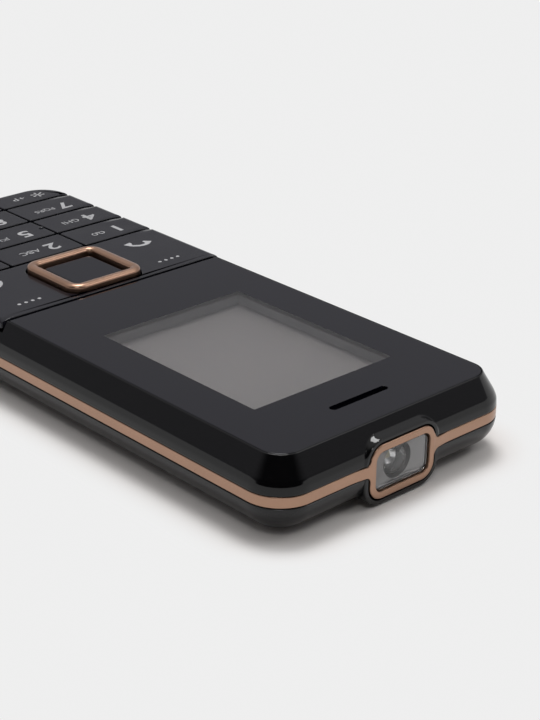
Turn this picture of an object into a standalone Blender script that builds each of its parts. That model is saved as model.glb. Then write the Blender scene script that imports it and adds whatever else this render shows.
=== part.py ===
"""Keypad mobile phone: a bar phone with a keypad, a small screen and a torch in its top end.

Frame: +Z up out of the screen, +Y towards the torch end, +X the phone's right side.
The origin is on the surface that the phone lies on, under the middle of its outer box.
"""

from math import cos, pi, radians, sin

import bmesh
import bpy
from mathutils import Vector

mm = 0.001

# Driving sizes of the whole body
body_width = 50.2 * mm
window_width = 29.7 * mm
window_length = 36.7 * mm
function_row = 19.7 * mm
row_pitch = 8.7 * mm
last_row = 3
last_row_overhang = 0.3 * mm
corner_radius = 7.5 * mm
lens_plane = 13.2 * mm
bezel_reach = 0.85 * mm

# Clearances
seat_gap = 0.3 * mm
stack_gap = 0.25 * mm
overrun = 2.0 * mm

# Smoothness, in faces per quarter turn or per whole turn
corner_steps = 6
belly_steps = 6
round_steps = 20
small_steps = 12
dome_steps = 8
edge_steps = 3
lamp_steps = 4
smooth_angle = radians(32)

# Lengths of the screen part, from the keypad seam to the top end
window_from_seam = 15.3 * mm
slot_from_window = 7.35 * mm
slot_from_top = 8.85 * mm

screen_length = window_from_seam + window_length + slot_from_window + slot_from_top
body_length = screen_length + function_row + (last_row + 1) * row_pitch - last_row_overhang
half_width = body_width / 2
half_length = body_length / 2
centre_y = -bezel_reach / 2
top_end = centre_y + half_length
tail_end = centre_y - half_length

# Rear cover: the lower shell, rounded like a quarter ellipse into a flat back
cover_rim = 5.2 * mm
belly_round = 5.1 * mm
cover_wall = 1.1 * mm

# Band: the metal strip all round, with the torch bezel in its top end
band_low = 5.48 * mm
band_high = 7.4 * mm
band_wall = 1.1 * mm
band_chamfer = 0.12 * mm

# Front cover: heights and insets of its outer profile
front_rim = 7.65 * mm
rim_inset = 0.12 * mm
flank_low = 7.9 * mm
crease_low = 9.2 * mm
crease_low_inset = 0.1 * mm
crease_high = 9.95 * mm
crease_high_inset = 0.25 * mm
shoulder = 12.7 * mm
shoulder_inset = 1.32 * mm
lip_inset = 1.75 * mm
cavity_inset = 1.4 * mm
cavity_top_inset = 2.0 * mm
cavity_step = 9.2 * mm
front_plate = 0.75 * mm

# Screen: lens plate, window and earpiece slot
lens_inset = 2.2 * mm
lens_corner = 5.0 * mm
lens_edge_gap = 0.15 * mm
lens_thickness = 1.0 * mm
lens_chamfer = 0.15 * mm
slot_length = 12.2 * mm
slot_width = 1.4 * mm
slot_round_share = 0.49

# Keypad: gaps, columns and travel
row_gap = 0.8 * mm
seam_gap = 0.5 * mm
column_edge = 0.35 * mm
column_count = 3
column_line = (half_width - column_edge) / column_count
column_gap = 0.45 * mm
key_rise = 0.1 * mm
key_skirt = 11.9 * mm
key_side_inset = 1.05 * mm
key_side_high = 12.3 * mm
key_roll_inset = 1.3 * mm
key_roll_high = 12.85 * mm
key_flat_inset = 2.2 * mm
key_edge_drop = 0.2 * mm
key_edge_inset = 0.12 * mm
key_travel = 0.3 * mm
plunger_radius = 1.2 * mm
plunger_clearance = 0.1 * mm
plunger_hole_gap = 0.4 * mm
ledge_height = 11.35 * mm
nub_radius = 0.45 * mm
nub_rise = 0.25 * mm
nub_from_side = 0.9 * mm

# Navigation ring and centre key
ring_half_x = 8.0 * mm
ring_margin = 1.95 * mm
ring_half_y = function_row / 2 - ring_margin
ring_corner = 2.8 * mm
ring_width = 1.85 * mm
ring_rise = 1.4 * mm
ring_towards_screen = 0.4 * mm
ring_gap = 0.35 * mm
ring_low = 12.1 * mm
ring_ease = 0.28 * mm
ring_ease_rise = 0.41 * mm
centre_key_rise = 0.5 * mm
centre_key_low = 12.6 * mm
nav_plunger_margin = 2.3 * mm
nav_plunger_radius = 0.8 * mm
nav_pad_low = 11.0 * mm
nav_pad_high = 11.8 * mm
function_pad_low = 10.9 * mm
function_pad_high = 11.6 * mm
function_plunger_margin = 4.85 * mm
function_plunger_radius = 1.1 * mm

# Torch bezel, its hood on the front cover and its collar on the rear cover
bezel_half_x = 7.0 * mm
bezel_half_z = 4.55 * mm
bezel_corner = 2.6 * mm
bezel_z = 6.35 * mm
bezel_depth = 2.8 * mm
bezel_chamfer = 0.2 * mm
bezel_frame = 1.45 * mm
hole_corner = 1.5 * mm
hood_wall = 0.75 * mm
hood_setback = 0.35 * mm
hood_depth = 4.3 * mm
hood_chamfer = 0.25 * mm
ramp_reach = 3.6 * mm
ramp_margin = 0.1 * mm
ramp_overlap = 0.4 * mm
torch_lens_thickness = 0.7 * mm
torch_lens_setback = 0.6 * mm
reflector_depth = 3.8 * mm
reflector_bore = 2.7 * mm
reflector_mouth = 2.9 * mm
led_radius = 2.4 * mm
led_flange_radius = 2.75 * mm
led_flange = 0.8 * mm
led_body = 1.6 * mm
led_leg = 0.5 * mm
led_leg_pitch = 1.27 * mm
led_leg_reach = 1.8 * mm

# Layers inside, from the back to the keys
battery_thickness = 4.6 * mm
bay_roof = 1.0 * mm
board_thickness = 0.9 * mm
dome_sheet_thickness = 0.15 * mm
dome_height = 0.25 * mm
dome_radius = 1.8 * mm
dome_inner_share = 0.6
dome_crown_share = 0.8
dome_tip_share = 0.2
frame_low = 9.5 * mm
frame_high = 10.3 * mm
mat_low = 10.55 * mm
mat_high = 11.25 * mm

# Battery and its bay
battery_from_side = 8.2 * mm
battery_from_row = 4.625 * mm
battery_from_window = 13.075 * mm
battery_edge = 0.8 * mm
bay_wall = 1.5 * mm
contact_half_x = 4.5 * mm
contact_depth = 2.2 * mm
contact_low = 3.4 * mm
contact_leaf = 0.6 * mm
contact_leaf_proud = 0.25 * mm
contact_pitch = 2.8 * mm

# Chassis pockets and screws
chassis_floor = 1.0 * mm
chassis_wall = 1.3 * mm
rail_wall = 1.0 * mm
rail_end = 3.0 * mm
pocket_corner = 4.0 * mm
screw_tail_from_side = 4.8 * mm
screw_tail_from_end = 4.7 * mm
screw_middle_from_side = 4.65 * mm
screw_middle_from_seam = 5.425 * mm
screw_top_from_side = 5.5 * mm
screw_top_from_top = 9.3 * mm
screw_head_radius = 1.35 * mm
screw_head = 0.7 * mm
screw_crown = 0.23 * mm
screw_crown_share = 0.7
screw_shank_radius = 0.7 * mm
screw_seat = 4.6 * mm
screw_tip = 10.6 * mm
screw_hole_radius = 1.0 * mm
screw_bore_top = 10.9 * mm
screw_post_radius = 2.6 * mm
screw_well_gap = 0.35 * mm
lug_radius = 2.0 * mm
lug_clearance = 0.35 * mm

# Main board
board_inset = 2.3 * mm
board_corner = 5.0 * mm
board_top_setback = 7.3 * mm

# Display module
display_margin_side = 2.75 * mm
display_margin_tail = 4.5 * mm
display_margin_top = 3.4 * mm
display_wall = 0.4 * mm
display_frame_plate = 0.2 * mm
display_opening_margin = 1.1 * mm
window_opening_margin = 1.1 * mm
display_glass_thickness = 0.5 * mm
display_light_thickness = 0.5 * mm
display_light_seat = 0.2 * mm
gasket_margin = 0.1 * mm
gasket_wall = 0.6 * mm

# Sound, vibration, camera and sockets
earpiece_half_x = 7.0 * mm
earpiece_half_y = 2.75 * mm
mesh_thickness = 0.3 * mm
speaker_from_side = 7.6 * mm
speaker_from_middle = 4.5 * mm
speaker_from_tail = 26.125 * mm
speaker_half_y = 5.0 * mm
speaker_thickness = 3.2 * mm
speaker_corner = 1.5 * mm
speaker_port_margin = 2.0 * mm
grille_slots = 5
grille_pitch = 1.8 * mm
grille_slot_width = 0.8 * mm
grille_slot_length = 9.0 * mm
microphone_from_side = 8.6 * mm
microphone_from_tail = 8.025 * mm
microphone_radius = 2.0 * mm
microphone_thickness = 1.5 * mm
microphone_port_radius = 0.5 * mm
microphone_port_z = 8.6 * mm
motor_from_side = 12.6 * mm
motor_from_top = 17.275 * mm
motor_radius = 2.0 * mm
motor_length = 8.0 * mm
motor_bearing = 0.65 * mm
motor_bearing_depth = 1.0 * mm
motor_shaft_radius = 0.35 * mm
weight_radius = 2.05 * mm
weight_length = 3.0 * mm
weight_gap = 0.5 * mm
camera_from_top = 16.775 * mm
camera_half = 3.6 * mm
camera_barrel_radius = 2.3 * mm
camera_window_radius = 3.0 * mm
camera_window_setback = 0.2 * mm
usb_x = -6.0 * mm
usb_half_x = 3.9 * mm
usb_low = 3.4 * mm
usb_high = 6.0 * mm
usb_depth = 5.6 * mm
usb_setback = 0.75 * mm
usb_mouth_half_x = 3.4 * mm
usb_mouth_half_z = 0.9 * mm
usb_mouth_depth = 4.6 * mm
usb_foot = 1.2 * mm
usb_corner = 0.65 * mm
jack_x = 9.0 * mm
jack_half_x = 3.0 * mm
jack_axis_z = 3.9 * mm
jack_half_z = 2.2 * mm
jack_depth = 12.0 * mm
jack_nose_radius = 2.3 * mm
jack_nose = 2.4 * mm
jack_bore_radius = 1.75 * mm
jack_bore_depth = 11.0 * mm
jack_setback = 1.6 * mm
jack_foot_from_body = 4.0 * mm
jack_foot = 2.0 * mm

# Card holders, shields and antenna
card_thickness = 1.0 * mm
sim_half_x = 7.0 * mm
sim_half_y = 8.0 * mm
sim_x = 8.5 * mm
sim_from_battery = 9.5 * mm
memory_half_x = 6.0 * mm
memory_half_y = 7.0 * mm
memory_from_battery = 8.5 * mm
card_mouth = 0.4 * mm
card_mouth_margin = 1.0 * mm
shield_height = 1.4 * mm
shield_corner = 0.8 * mm
baseband_from_side = 8.6 * mm
baseband_past_middle = 0.5 * mm
baseband_from_tail = 25.625 * mm
baseband_half_y = 5.5 * mm
radio_from_camera = 1.6 * mm
radio_from_top = 14.775 * mm
radio_half_y = 5.5 * mm
antenna_from_tail = 17.925 * mm
antenna_from_side = 5.6 * mm
antenna_half_y = 1.3 * mm
antenna_sheet = 0.3 * mm
antenna_leg = 2.0 * mm

# Heights that follow from the layers
battery_low = cover_wall + stack_gap
battery_high = battery_low + battery_thickness
chassis_low = cover_wall + stack_gap
roof_low = battery_high + stack_gap
chassis_high = roof_low + bay_roof
board_low = chassis_high + stack_gap
board_high = board_low + board_thickness
dome_low = board_high + stack_gap
dome_base = dome_low + dome_sheet_thickness
dome_top = dome_base + dome_height
plunger_low = dome_top + key_travel + plunger_clearance
pocket_floor = chassis_low + chassis_floor
inner_seat = pocket_floor + stack_gap
board_hang = board_low - stack_gap
lens_low = lens_plane - lens_thickness
recess_floor = lens_low - stack_gap
plate_low = recess_floor - front_plate
key_plane = lens_plane + key_rise

# Places along the phone that follow from the rows
seam_y = top_end - screen_length
window_low_y = seam_y + window_from_seam
window_high_y = window_low_y + window_length
slot_y = top_end - slot_from_top
row_line = seam_y - function_row
function_y = (seam_y + row_line) / 2 + ring_towards_screen
keypad_tail = tail_end + key_flat_inset
column_centre = (column_line + half_width - key_flat_inset) / 2
function_plunger_y = function_row / 2 - function_plunger_margin
nav_plunger_reach = ring_half_y - nav_plunger_margin

# Places of the inner pieces, from the end or the side that each one keeps to
display_half_x = window_width / 2 + display_margin_side
battery_half_x = half_width - battery_from_side
battery_low_y = row_line + battery_from_row
battery_high_y = window_high_y - battery_from_window
battery_centre_y = (battery_low_y + battery_high_y) / 2
bay_low_y = battery_low_y - seat_gap
bay_high_y = battery_high_y + seat_gap
sim_y = battery_centre_y + sim_from_battery
memory_y = battery_centre_y - memory_from_battery
camera_y = top_end - camera_from_top
motor_x = half_width - motor_from_side
motor_y = top_end - motor_from_top
radio_low_x = screw_top_from_side + screw_post_radius + seat_gap - half_width
radio_high_x = -camera_half - radio_from_camera
radio_x = (radio_low_x + radio_high_x) / 2
radio_half_x = (radio_high_x - radio_low_x) / 2
radio_y = top_end - radio_from_top
speaker_low_x = speaker_from_side - half_width
speaker_x = (speaker_low_x - speaker_from_middle) / 2
speaker_half_x = (-speaker_from_middle - speaker_low_x) / 2
speaker_y = tail_end + speaker_from_tail
baseband_high_x = half_width - baseband_from_side
baseband_x = (baseband_high_x - baseband_past_middle) / 2
baseband_half_x = (baseband_high_x + baseband_past_middle) / 2
baseband_y = tail_end + baseband_from_tail
antenna_y = tail_end + antenna_from_tail
antenna_half_x = half_width - antenna_from_side
microphone_x = microphone_from_side - half_width
microphone_y = tail_end + microphone_from_tail


def clear_scene():
    """Remove every object that the open file holds."""
    for thing in list(bpy.data.objects):
        bpy.data.objects.remove(thing, do_unlink=True)


def finish(name, colour, roughness, metallic=0.0, alpha=1.0):
    """A plain Principled material of one colour."""
    made = bpy.data.materials.new(name)
    made.use_nodes = True
    shader = made.node_tree.nodes["Principled BSDF"]
    shader.inputs["Base Color"].default_value = (*colour, 1.0)
    shader.inputs["Roughness"].default_value = roughness
    shader.inputs["Metallic"].default_value = metallic
    shader.inputs["Alpha"].default_value = alpha
    made.diffuse_color = (*colour, alpha)
    return made


def rounded(low_u, high_u, low_v, high_v, radii, steps=corner_steps):
    """Anticlockwise rectangle with an arc in each corner; radii start at the high, high corner."""
    if not isinstance(radii, tuple):
        radii = (radii,) * 4
    corners = (
        (high_u, high_v, -1, -1),
        (low_u, high_v, 1, -1),
        (low_u, low_v, 1, 1),
        (high_u, low_v, -1, 1),
    )
    points = []
    for quarter, (u, v, side_u, side_v) in enumerate(corners):
        radius = radii[quarter]
        if radius <= 0:
            points.append((u, v))
            continue
        for step in range(steps + 1):
            angle = (quarter + step / steps) * pi / 2
            centre_u = u + side_u * radius
            centre_v = v + side_v * radius
            points.append((centre_u + radius * cos(angle), centre_v + radius * sin(angle)))
    return points


def block(centre_u, half_u, low_v, high_v, radius=0):
    """Rectangle about a centre line, with equal corners."""
    return rounded(centre_u - half_u, centre_u + half_u, low_v, high_v, radius, edge_steps)


def circle(centre, radius, steps=round_steps):
    """Points of a circle, anticlockwise."""
    turn = [2 * pi * step / steps for step in range(steps)]
    return [(centre[0] + radius * cos(angle), centre[1] + radius * sin(angle)) for angle in turn]


def outline(inset):
    """The body's plan outline, moved inwards by inset."""
    half_u = half_width - inset
    half_v = half_length - inset
    return rounded(-half_u, half_u, centre_y - half_v, centre_y + half_v, corner_radius - inset)


def place(point, along, axis):
    """A point of a section at a distance along its axis, in the phone's frame."""
    u, v = point
    if axis == "Z":
        return (u, v, along)
    if axis == "Y":
        return (u, along, v)
    return (along, u, v)


def loft(name, bodies, material=None, axis="Z"):
    """One object whose closed bodies each join a list of sections (points, distance) with capped ends."""
    mesh = bpy.data.meshes.new(name)
    shape = bmesh.new()
    for sections in bodies:
        rings = []
        for points, along in sections:
            rings.append([shape.verts.new(place(point, along, axis)) for point in points])
        for lower, upper in zip(rings, rings[1:]):
            count = len(lower)
            for index in range(count):
                after = (index + 1) % count
                shape.faces.new((lower[index], lower[after], upper[after], upper[index]))
        shape.faces.new(list(reversed(rings[0])))
        shape.faces.new(rings[-1])
    bmesh.ops.recalc_face_normals(shape, faces=shape.faces)
    shape.to_mesh(mesh)
    shape.free()
    mesh.shade_smooth()
    mesh.set_sharp_from_angle(angle=smooth_angle)
    made = bpy.data.objects.new(name, mesh)
    bpy.context.collection.objects.link(made)
    if material:
        mesh.materials.append(material)
    return made


def prism(points, low, high):
    """Sections of a straight body."""
    return [(points, low), (points, high)]


def combine(target, operation, *tools):
    """Join, cut or intersect the target with each tool, which is then a hidden helper."""
    for tool in tools:
        step = target.modifiers.new(operation.lower(), "BOOLEAN")
        step.operation = operation
        step.solver = "EXACT"
        step.object = tool
        tool.hide_render = True
        tool.display_type = "WIRE"


def cut(target, name, bodies, axis="Z"):
    """Cut the bodies out of the target."""
    combine(target, "DIFFERENCE", loft(name, bodies, None, axis))


def join(target, name, bodies, axis="Z"):
    """Add the bodies to the target."""
    combine(target, "UNION", loft(name, bodies, None, axis))


def set_origin(target, point):
    """Move an object's origin to a point and leave its shape in place."""
    shift = Vector(point)
    for vertex in target.data.vertices:
        vertex.co -= shift
    target.location = shift


def belly(inset, low, high, steps=belly_steps):
    """Sections of the rounded lower shell, moved inwards by inset, from low up to high."""
    sections = []
    for step in range(steps + 1):
        angle = step / steps * pi / 2
        depth = inset + (belly_round - inset) * (1 - sin(angle))
        sections.append((outline(depth), low + (high - low) * (1 - cos(angle))))
    return sections


def bezel_outline(growth):
    """The torch bezel's face outline, seen from the top end, moved outwards by growth."""
    half_u = bezel_half_x + growth
    half_v = bezel_half_z + growth
    return rounded(-half_u, half_u, bezel_z - half_v, bezel_z + half_v, bezel_corner + growth)


def arch(growth, line, upper):
    """The part of a grown bezel outline above or below a level line."""
    half_u = bezel_half_x + growth
    if upper:
        kept = [point for point in bezel_outline(growth) if point[1] > line]
        return [(half_u, line)] + kept + [(-half_u, line)]
    kept = [point for point in bezel_outline(growth) if point[1] < line]
    return [(-half_u, line)] + kept + [(half_u, line)]


def hood_sections(line, upper):
    """Sections of the hood or collar that follows the bezel, chamfered at its front."""
    front = top_end + bezel_reach - hood_setback
    growth = seat_gap + hood_wall
    return [
        (arch(growth, line, upper), front - hood_depth),
        (arch(growth, line, upper), front - hood_chamfer),
        (arch(growth - hood_chamfer, line, upper), front),
    ]


def screw_places():
    """The six screw axes, as name and plan position."""
    rows = (
        ("tail", half_width - screw_tail_from_side, tail_end + screw_tail_from_end),
        ("middle", half_width - screw_middle_from_side, seam_y + screw_middle_from_seam),
        ("top", half_width - screw_top_from_side, top_end - screw_top_from_top),
    )
    sides = (("right", 1), ("left", -1))
    return [(f"{row}_{side}", sign * x, y) for row, x, y in rows for side, sign in sides]


def bezel_clearance():
    """The space that the bezel takes in the covers."""
    front = top_end + bezel_reach + overrun
    return [prism(bezel_outline(seat_gap), top_end - hood_depth - overrun, front)]


# Materials
gloss_black = finish("gloss_black", (0.012, 0.012, 0.014), 0.12)
lens_black = finish("lens_black", (0.045, 0.044, 0.05), 0.06)
rose_gold = finish("rose_gold", (0.38, 0.22, 0.15), 0.38, 0.9)
satin_black = finish("satin_black", (0.028, 0.028, 0.031), 0.42)
key_black = finish("key_black", (0.05, 0.05, 0.055), 0.35)
clear_plastic = finish("clear_plastic", (0.9, 0.9, 0.9), 0.03, 0.0, 0.3)
silvered = finish("silvered", (0.75, 0.74, 0.72), 0.15, 1.0)
board_green = finish("board_green", (0.02, 0.09, 0.06), 0.45)
steel = finish("steel", (0.5, 0.5, 0.5), 0.3, 1.0)
silicone = finish("silicone", (0.1, 0.1, 0.11), 0.7)
cell_grey = finish("cell_grey", (0.25, 0.26, 0.28), 0.5)
display_grey = finish("display_grey", (0.19, 0.175, 0.17), 0.2)
light_guide = finish("light_guide", (0.8, 0.8, 0.8), 0.5)
inner_black = finish("inner_black", (0.03, 0.03, 0.03), 0.55)
copper_film = finish("copper_film", (0.6, 0.3, 0.16), 0.35, 1.0)


def build_front_cover():
    """Glossy front housing: side walls, screen recess, hood over the torch and an open keypad frame."""
    profile = (
        (rim_inset, front_rim),
        (0, flank_low),
        (crease_low_inset, crease_low),
        (crease_high_inset, crease_high),
        (shoulder_inset, shoulder),
        (lip_inset, lens_plane),
    )
    cover = loft("front_cover", [[(outline(inset), height) for inset, height in profile]], gloss_black)
    join(cover, "hood_block", [hood_sections(front_rim, True)], "Y")
    cavity = (
        (outline(cavity_inset), front_rim - overrun),
        (outline(cavity_inset), cavity_step),
        (outline(cavity_top_inset), plate_low),
    )
    cut(cover, "front_cavity", [cavity])
    cut(cover, "hood_bore", bezel_clearance(), "Y")
    reach = half_width + overrun
    cut(
        cover,
        "keypad_step",
        [prism(block(0, reach, tail_end - overrun, seam_y), ledge_height, lens_plane + overrun)],
    )
    side = half_width - cavity_top_inset
    tail = tail_end + cavity_top_inset
    well_radius = corner_radius - cavity_top_inset
    well = rounded(-side, side, tail, seam_y, (0, 0, well_radius, well_radius))
    cut(cover, "keypad_well", [prism(well, plate_low - overrun, ledge_height + overrun)])
    half_recess = half_width - lens_inset + lens_edge_gap
    recess_end = top_end - lens_inset + lens_edge_gap
    recess_low = seam_y - overrun
    radius = lens_corner + lens_edge_gap
    recess = rounded(-half_recess, half_recess, recess_low, recess_end, (radius, radius, 0, 0))
    cut(cover, "lens_recess", [prism(recess, recess_floor, lens_plane + overrun)])
    margin = window_opening_margin
    view = block(0, window_width / 2 + margin, window_low_y - margin, window_high_y + margin)
    slot = slot_outline()
    low = plate_low - overrun
    high = recess_floor + overrun
    cut(cover, "front_openings", [prism(view, low, high), prism(slot, low, high)])
    lugs = [
        prism(circle((x, y), lug_radius, small_steps), dome_low, ledge_height)
        for _, x, y in screw_places()
    ]
    join(cover, "front_lugs", lugs)
    bores = [
        prism(circle((x, y), screw_hole_radius, small_steps), dome_low - overrun, screw_bore_top)
        for _, x, y in screw_places()
    ]
    cut(cover, "lug_bores", bores)
    port = circle((microphone_x, microphone_port_z), microphone_port_radius, small_steps)
    cut(cover, "microphone_port", [prism(port, tail_end - overrun, tail_end + cavity_inset + overrun)], "Y")
    return cover


def slot_outline():
    """The earpiece slot's outline, with rounded ends."""
    half = slot_width / 2
    return block(0, slot_length / 2, slot_y - half, slot_y + half, slot_width * slot_round_share)


def build_screen():
    """Lens plate with its earpiece slot, the slot's mesh and the display module behind the window."""
    side = half_width - lens_inset
    end = top_end - lens_inset
    start = seam_y + lens_edge_gap

    def plate(shrink):
        radius = lens_corner - shrink
        return rounded(-side + shrink, side - shrink, start + shrink, end - shrink, (radius, radius, 0, 0))

    levels = ((0, lens_low), (0, lens_plane - lens_chamfer), (lens_chamfer, lens_plane))
    lens = loft("display_lens", [[(plate(shrink), height) for shrink, height in levels]], lens_black)
    slot = slot_outline()
    cut(lens, "lens_slot", [prism(slot, lens_low - overrun, lens_plane + overrun)])
    half_mesh = slot_width / 2 - seat_gap / 2
    half_span = slot_length / 2 - seat_gap / 2
    round_end = 2 * half_mesh * slot_round_share
    mesh_points = block(0, half_span, slot_y - half_mesh, slot_y + half_mesh, round_end)
    mesh_low = plate_low + (front_plate - mesh_thickness) / 2
    loft("earpiece_mesh", [prism(mesh_points, mesh_low, mesh_low + mesh_thickness)], steel)

    frame_top = plate_low - stack_gap
    low_y = window_low_y - display_margin_tail
    high_y = window_high_y + display_margin_top
    tray = block(0, display_half_x, low_y, high_y)
    shell = loft("display_frame", [prism(tray, dome_low, frame_top)], steel)
    inner = display_half_x - display_wall
    inner_low_y = low_y + display_wall
    inner_high_y = high_y - display_wall
    inner_top = frame_top - display_frame_plate
    pocket = block(0, inner, inner_low_y, inner_high_y)
    cut(shell, "display_pocket", [prism(pocket, dome_low - overrun, inner_top)])
    margin = display_opening_margin
    view = block(0, window_width / 2 + margin, window_low_y - margin, window_high_y + margin)
    cut(shell, "display_opening", [prism(view, inner_top - overrun, frame_top + overrun)])
    light_low = dome_low + display_light_seat
    light_high = light_low + display_light_thickness
    glass_low = light_high + stack_gap
    glass_high = glass_low + display_glass_thickness
    panel = block(0, inner - seat_gap, inner_low_y + seat_gap, inner_high_y - seat_gap)
    loft("display_backlight", [prism(panel, light_low, light_high)], light_guide)
    loft("display_glass", [prism(panel, glass_low, glass_high)], display_grey)

    gasket_low = glass_high + stack_gap
    well = gasket_margin + gasket_wall
    outer = block(0, window_width / 2 + well, window_low_y - well, window_high_y + well)
    gasket = loft("display_gasket", [prism(outer, gasket_low, recess_floor)], silicone)
    margin = gasket_margin
    view = block(0, window_width / 2 + margin, window_low_y - margin, window_high_y + margin)
    cut(gasket, "gasket_opening", [prism(view, gasket_low - overrun, recess_floor + overrun)])


def build_band():
    """Metal band with the torch bezel: a flat strip all round that swells into a frame at the top end."""
    levels = (
        (band_chamfer, band_low),
        (0, band_low + band_chamfer),
        (0, band_high - band_chamfer),
        (band_chamfer, band_high),
    )
    band = loft("mid_band", [[(outline(inset), height) for inset, height in levels]], rose_gold)
    cut(band, "band_bore", [prism(outline(band_wall), band_low - overrun, band_high + overrun)])
    face = top_end + bezel_reach
    bezel = [
        (bezel_outline(0), face - bezel_depth),
        (bezel_outline(0), face - bezel_chamfer),
        (bezel_outline(-bezel_chamfer), face),
    ]
    join(band, "bezel_block", [bezel], "Y")
    back = top_end - band_wall / 2
    inner_x = bezel_half_x - ramp_overlap
    outer_x = bezel_half_x + ramp_reach
    front = face - bezel_chamfer
    ramps = []
    for sign in (1, -1):
        points = [
            (sign * inner_x, back),
            (sign * outer_x, back),
            (sign * outer_x, top_end - ramp_margin),
            (sign * inner_x, front),
        ]
        ramps.append(prism(points, band_low + ramp_margin, band_high - ramp_margin))
    join(band, "bezel_ramps", ramps)
    half_u = bezel_half_x - bezel_frame
    half_v = bezel_half_z - bezel_frame + bezel_chamfer
    hole = rounded(-half_u, half_u, bezel_z - half_v, bezel_z + half_v, hole_corner)
    cut(band, "bezel_hole", [prism(hole, face - bezel_depth - overrun, face + overrun)], "Y")
    cut(band, "band_ports", port_clearances(), "Y")
    return band


def port_clearances():
    """Spaces round the two sockets at the tail end, for the band, the chassis and the rear cover."""
    start = tail_end - overrun
    end = tail_end + jack_setback + jack_nose
    usb_space = block(usb_x, usb_half_x + seat_gap, usb_low - seat_gap, usb_high + seat_gap)
    jack_space = circle((jack_x, jack_axis_z), jack_nose_radius + seat_gap)
    return [prism(usb_space, start, end), prism(jack_space, start, end)]


def build_torch():
    """Clear torch window, silvered reflector with a round cup, and the lamp with its two legs."""
    half_u = bezel_half_x - bezel_frame - seat_gap
    half_v = bezel_half_z - bezel_frame + bezel_chamfer - seat_gap
    points = rounded(-half_u, half_u, bezel_z - half_v, bezel_z + half_v, hole_corner - seat_gap)
    window_front = top_end + bezel_reach - torch_lens_setback
    window_back = window_front - torch_lens_thickness
    loft("torch_lens", [prism(points, window_back, window_front)], clear_plastic, "Y")
    cup_front = window_back - stack_gap
    cup_back = cup_front - reflector_depth
    reflector = loft("torch_reflector", [prism(points, cup_back, cup_front)], silvered, "Y")
    axis = (0, bezel_z)
    bore = [
        (circle(axis, reflector_bore), cup_back - overrun),
        (circle(axis, reflector_bore), cup_back + reflector_depth / 2),
        (circle(axis, reflector_mouth), cup_front),
        (circle(axis, reflector_mouth), cup_front + overrun),
    ]
    cut(reflector, "reflector_cup", [bore], "Y")
    flange_front = cup_back - stack_gap
    flange_back = flange_front - led_flange
    dome_start = flange_front + led_body
    lamp = [(circle(axis, led_flange_radius), flange_back), (circle(axis, led_flange_radius), flange_front)]
    lamp.append((circle(axis, led_radius), flange_front))
    lamp.append((circle(axis, led_radius), dome_start))
    for step in range(1, lamp_steps):
        angle = step / lamp_steps * pi / 2
        reach = (cup_front - stack_gap - dome_start) * sin(angle)
        lamp.append((circle(axis, led_radius * cos(angle)), dome_start + reach))
    led = loft("torch_led", [lamp], clear_plastic, "Y")
    legs = []
    for sign in (1, -1):
        leg = block(sign * led_leg_pitch, led_leg / 2, bezel_z - led_leg / 2, board_hang)
        legs.append(prism(leg, flange_back - led_leg_reach, flange_back + led_flange / 2))
    join(led, "led_legs", legs, "Y")


def build_rear_cover():
    """Removable lower shell: rounded sides, flat back, collar under the torch, port notches and grille."""
    cover = loft("rear_cover", [belly(0, 0, cover_rim)], satin_black)
    join(cover, "collar_block", [hood_sections(cover_rim, False)], "Y")
    hollow = belly(cover_wall, cover_wall, cover_rim)
    hollow.append((outline(cover_wall), cover_rim + overrun))
    cut(cover, "rear_hollow", [hollow])
    cut(cover, "collar_bore", bezel_clearance(), "Y")
    start = tail_end - overrun
    end = tail_end + jack_setback + jack_nose
    rise = cover_rim + overrun
    usb_notch = block(usb_x, usb_half_x + seat_gap, usb_low - seat_gap, rise)
    jack_notch = block(jack_x, jack_nose_radius + seat_gap, jack_axis_z, rise)
    cut(cover, "usb_notch", [prism(usb_notch, start, end)], "Y")
    cut(cover, "jack_notch", [prism(jack_notch, start, end)], "Y")
    round_notch = circle((jack_x, jack_axis_z), jack_nose_radius + seat_gap)
    cut(cover, "jack_round_notch", [prism(round_notch, start, end)], "Y")
    slots = []
    for index in range(grille_slots):
        y = speaker_y + (index - (grille_slots - 1) / 2) * grille_pitch
        half = grille_slot_width / 2
        points = block(speaker_x, grille_slot_length / 2, y - half, y + half, half * 2 * slot_round_share)
        slots.append(prism(points, -overrun, cover_wall + overrun))
    hole = circle((0, camera_y), camera_window_radius + seat_gap, 2 * small_steps)
    slots.append(prism(hole, -overrun, cover_wall + overrun))
    cut(cover, "rear_openings", slots)
    return cover


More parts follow.
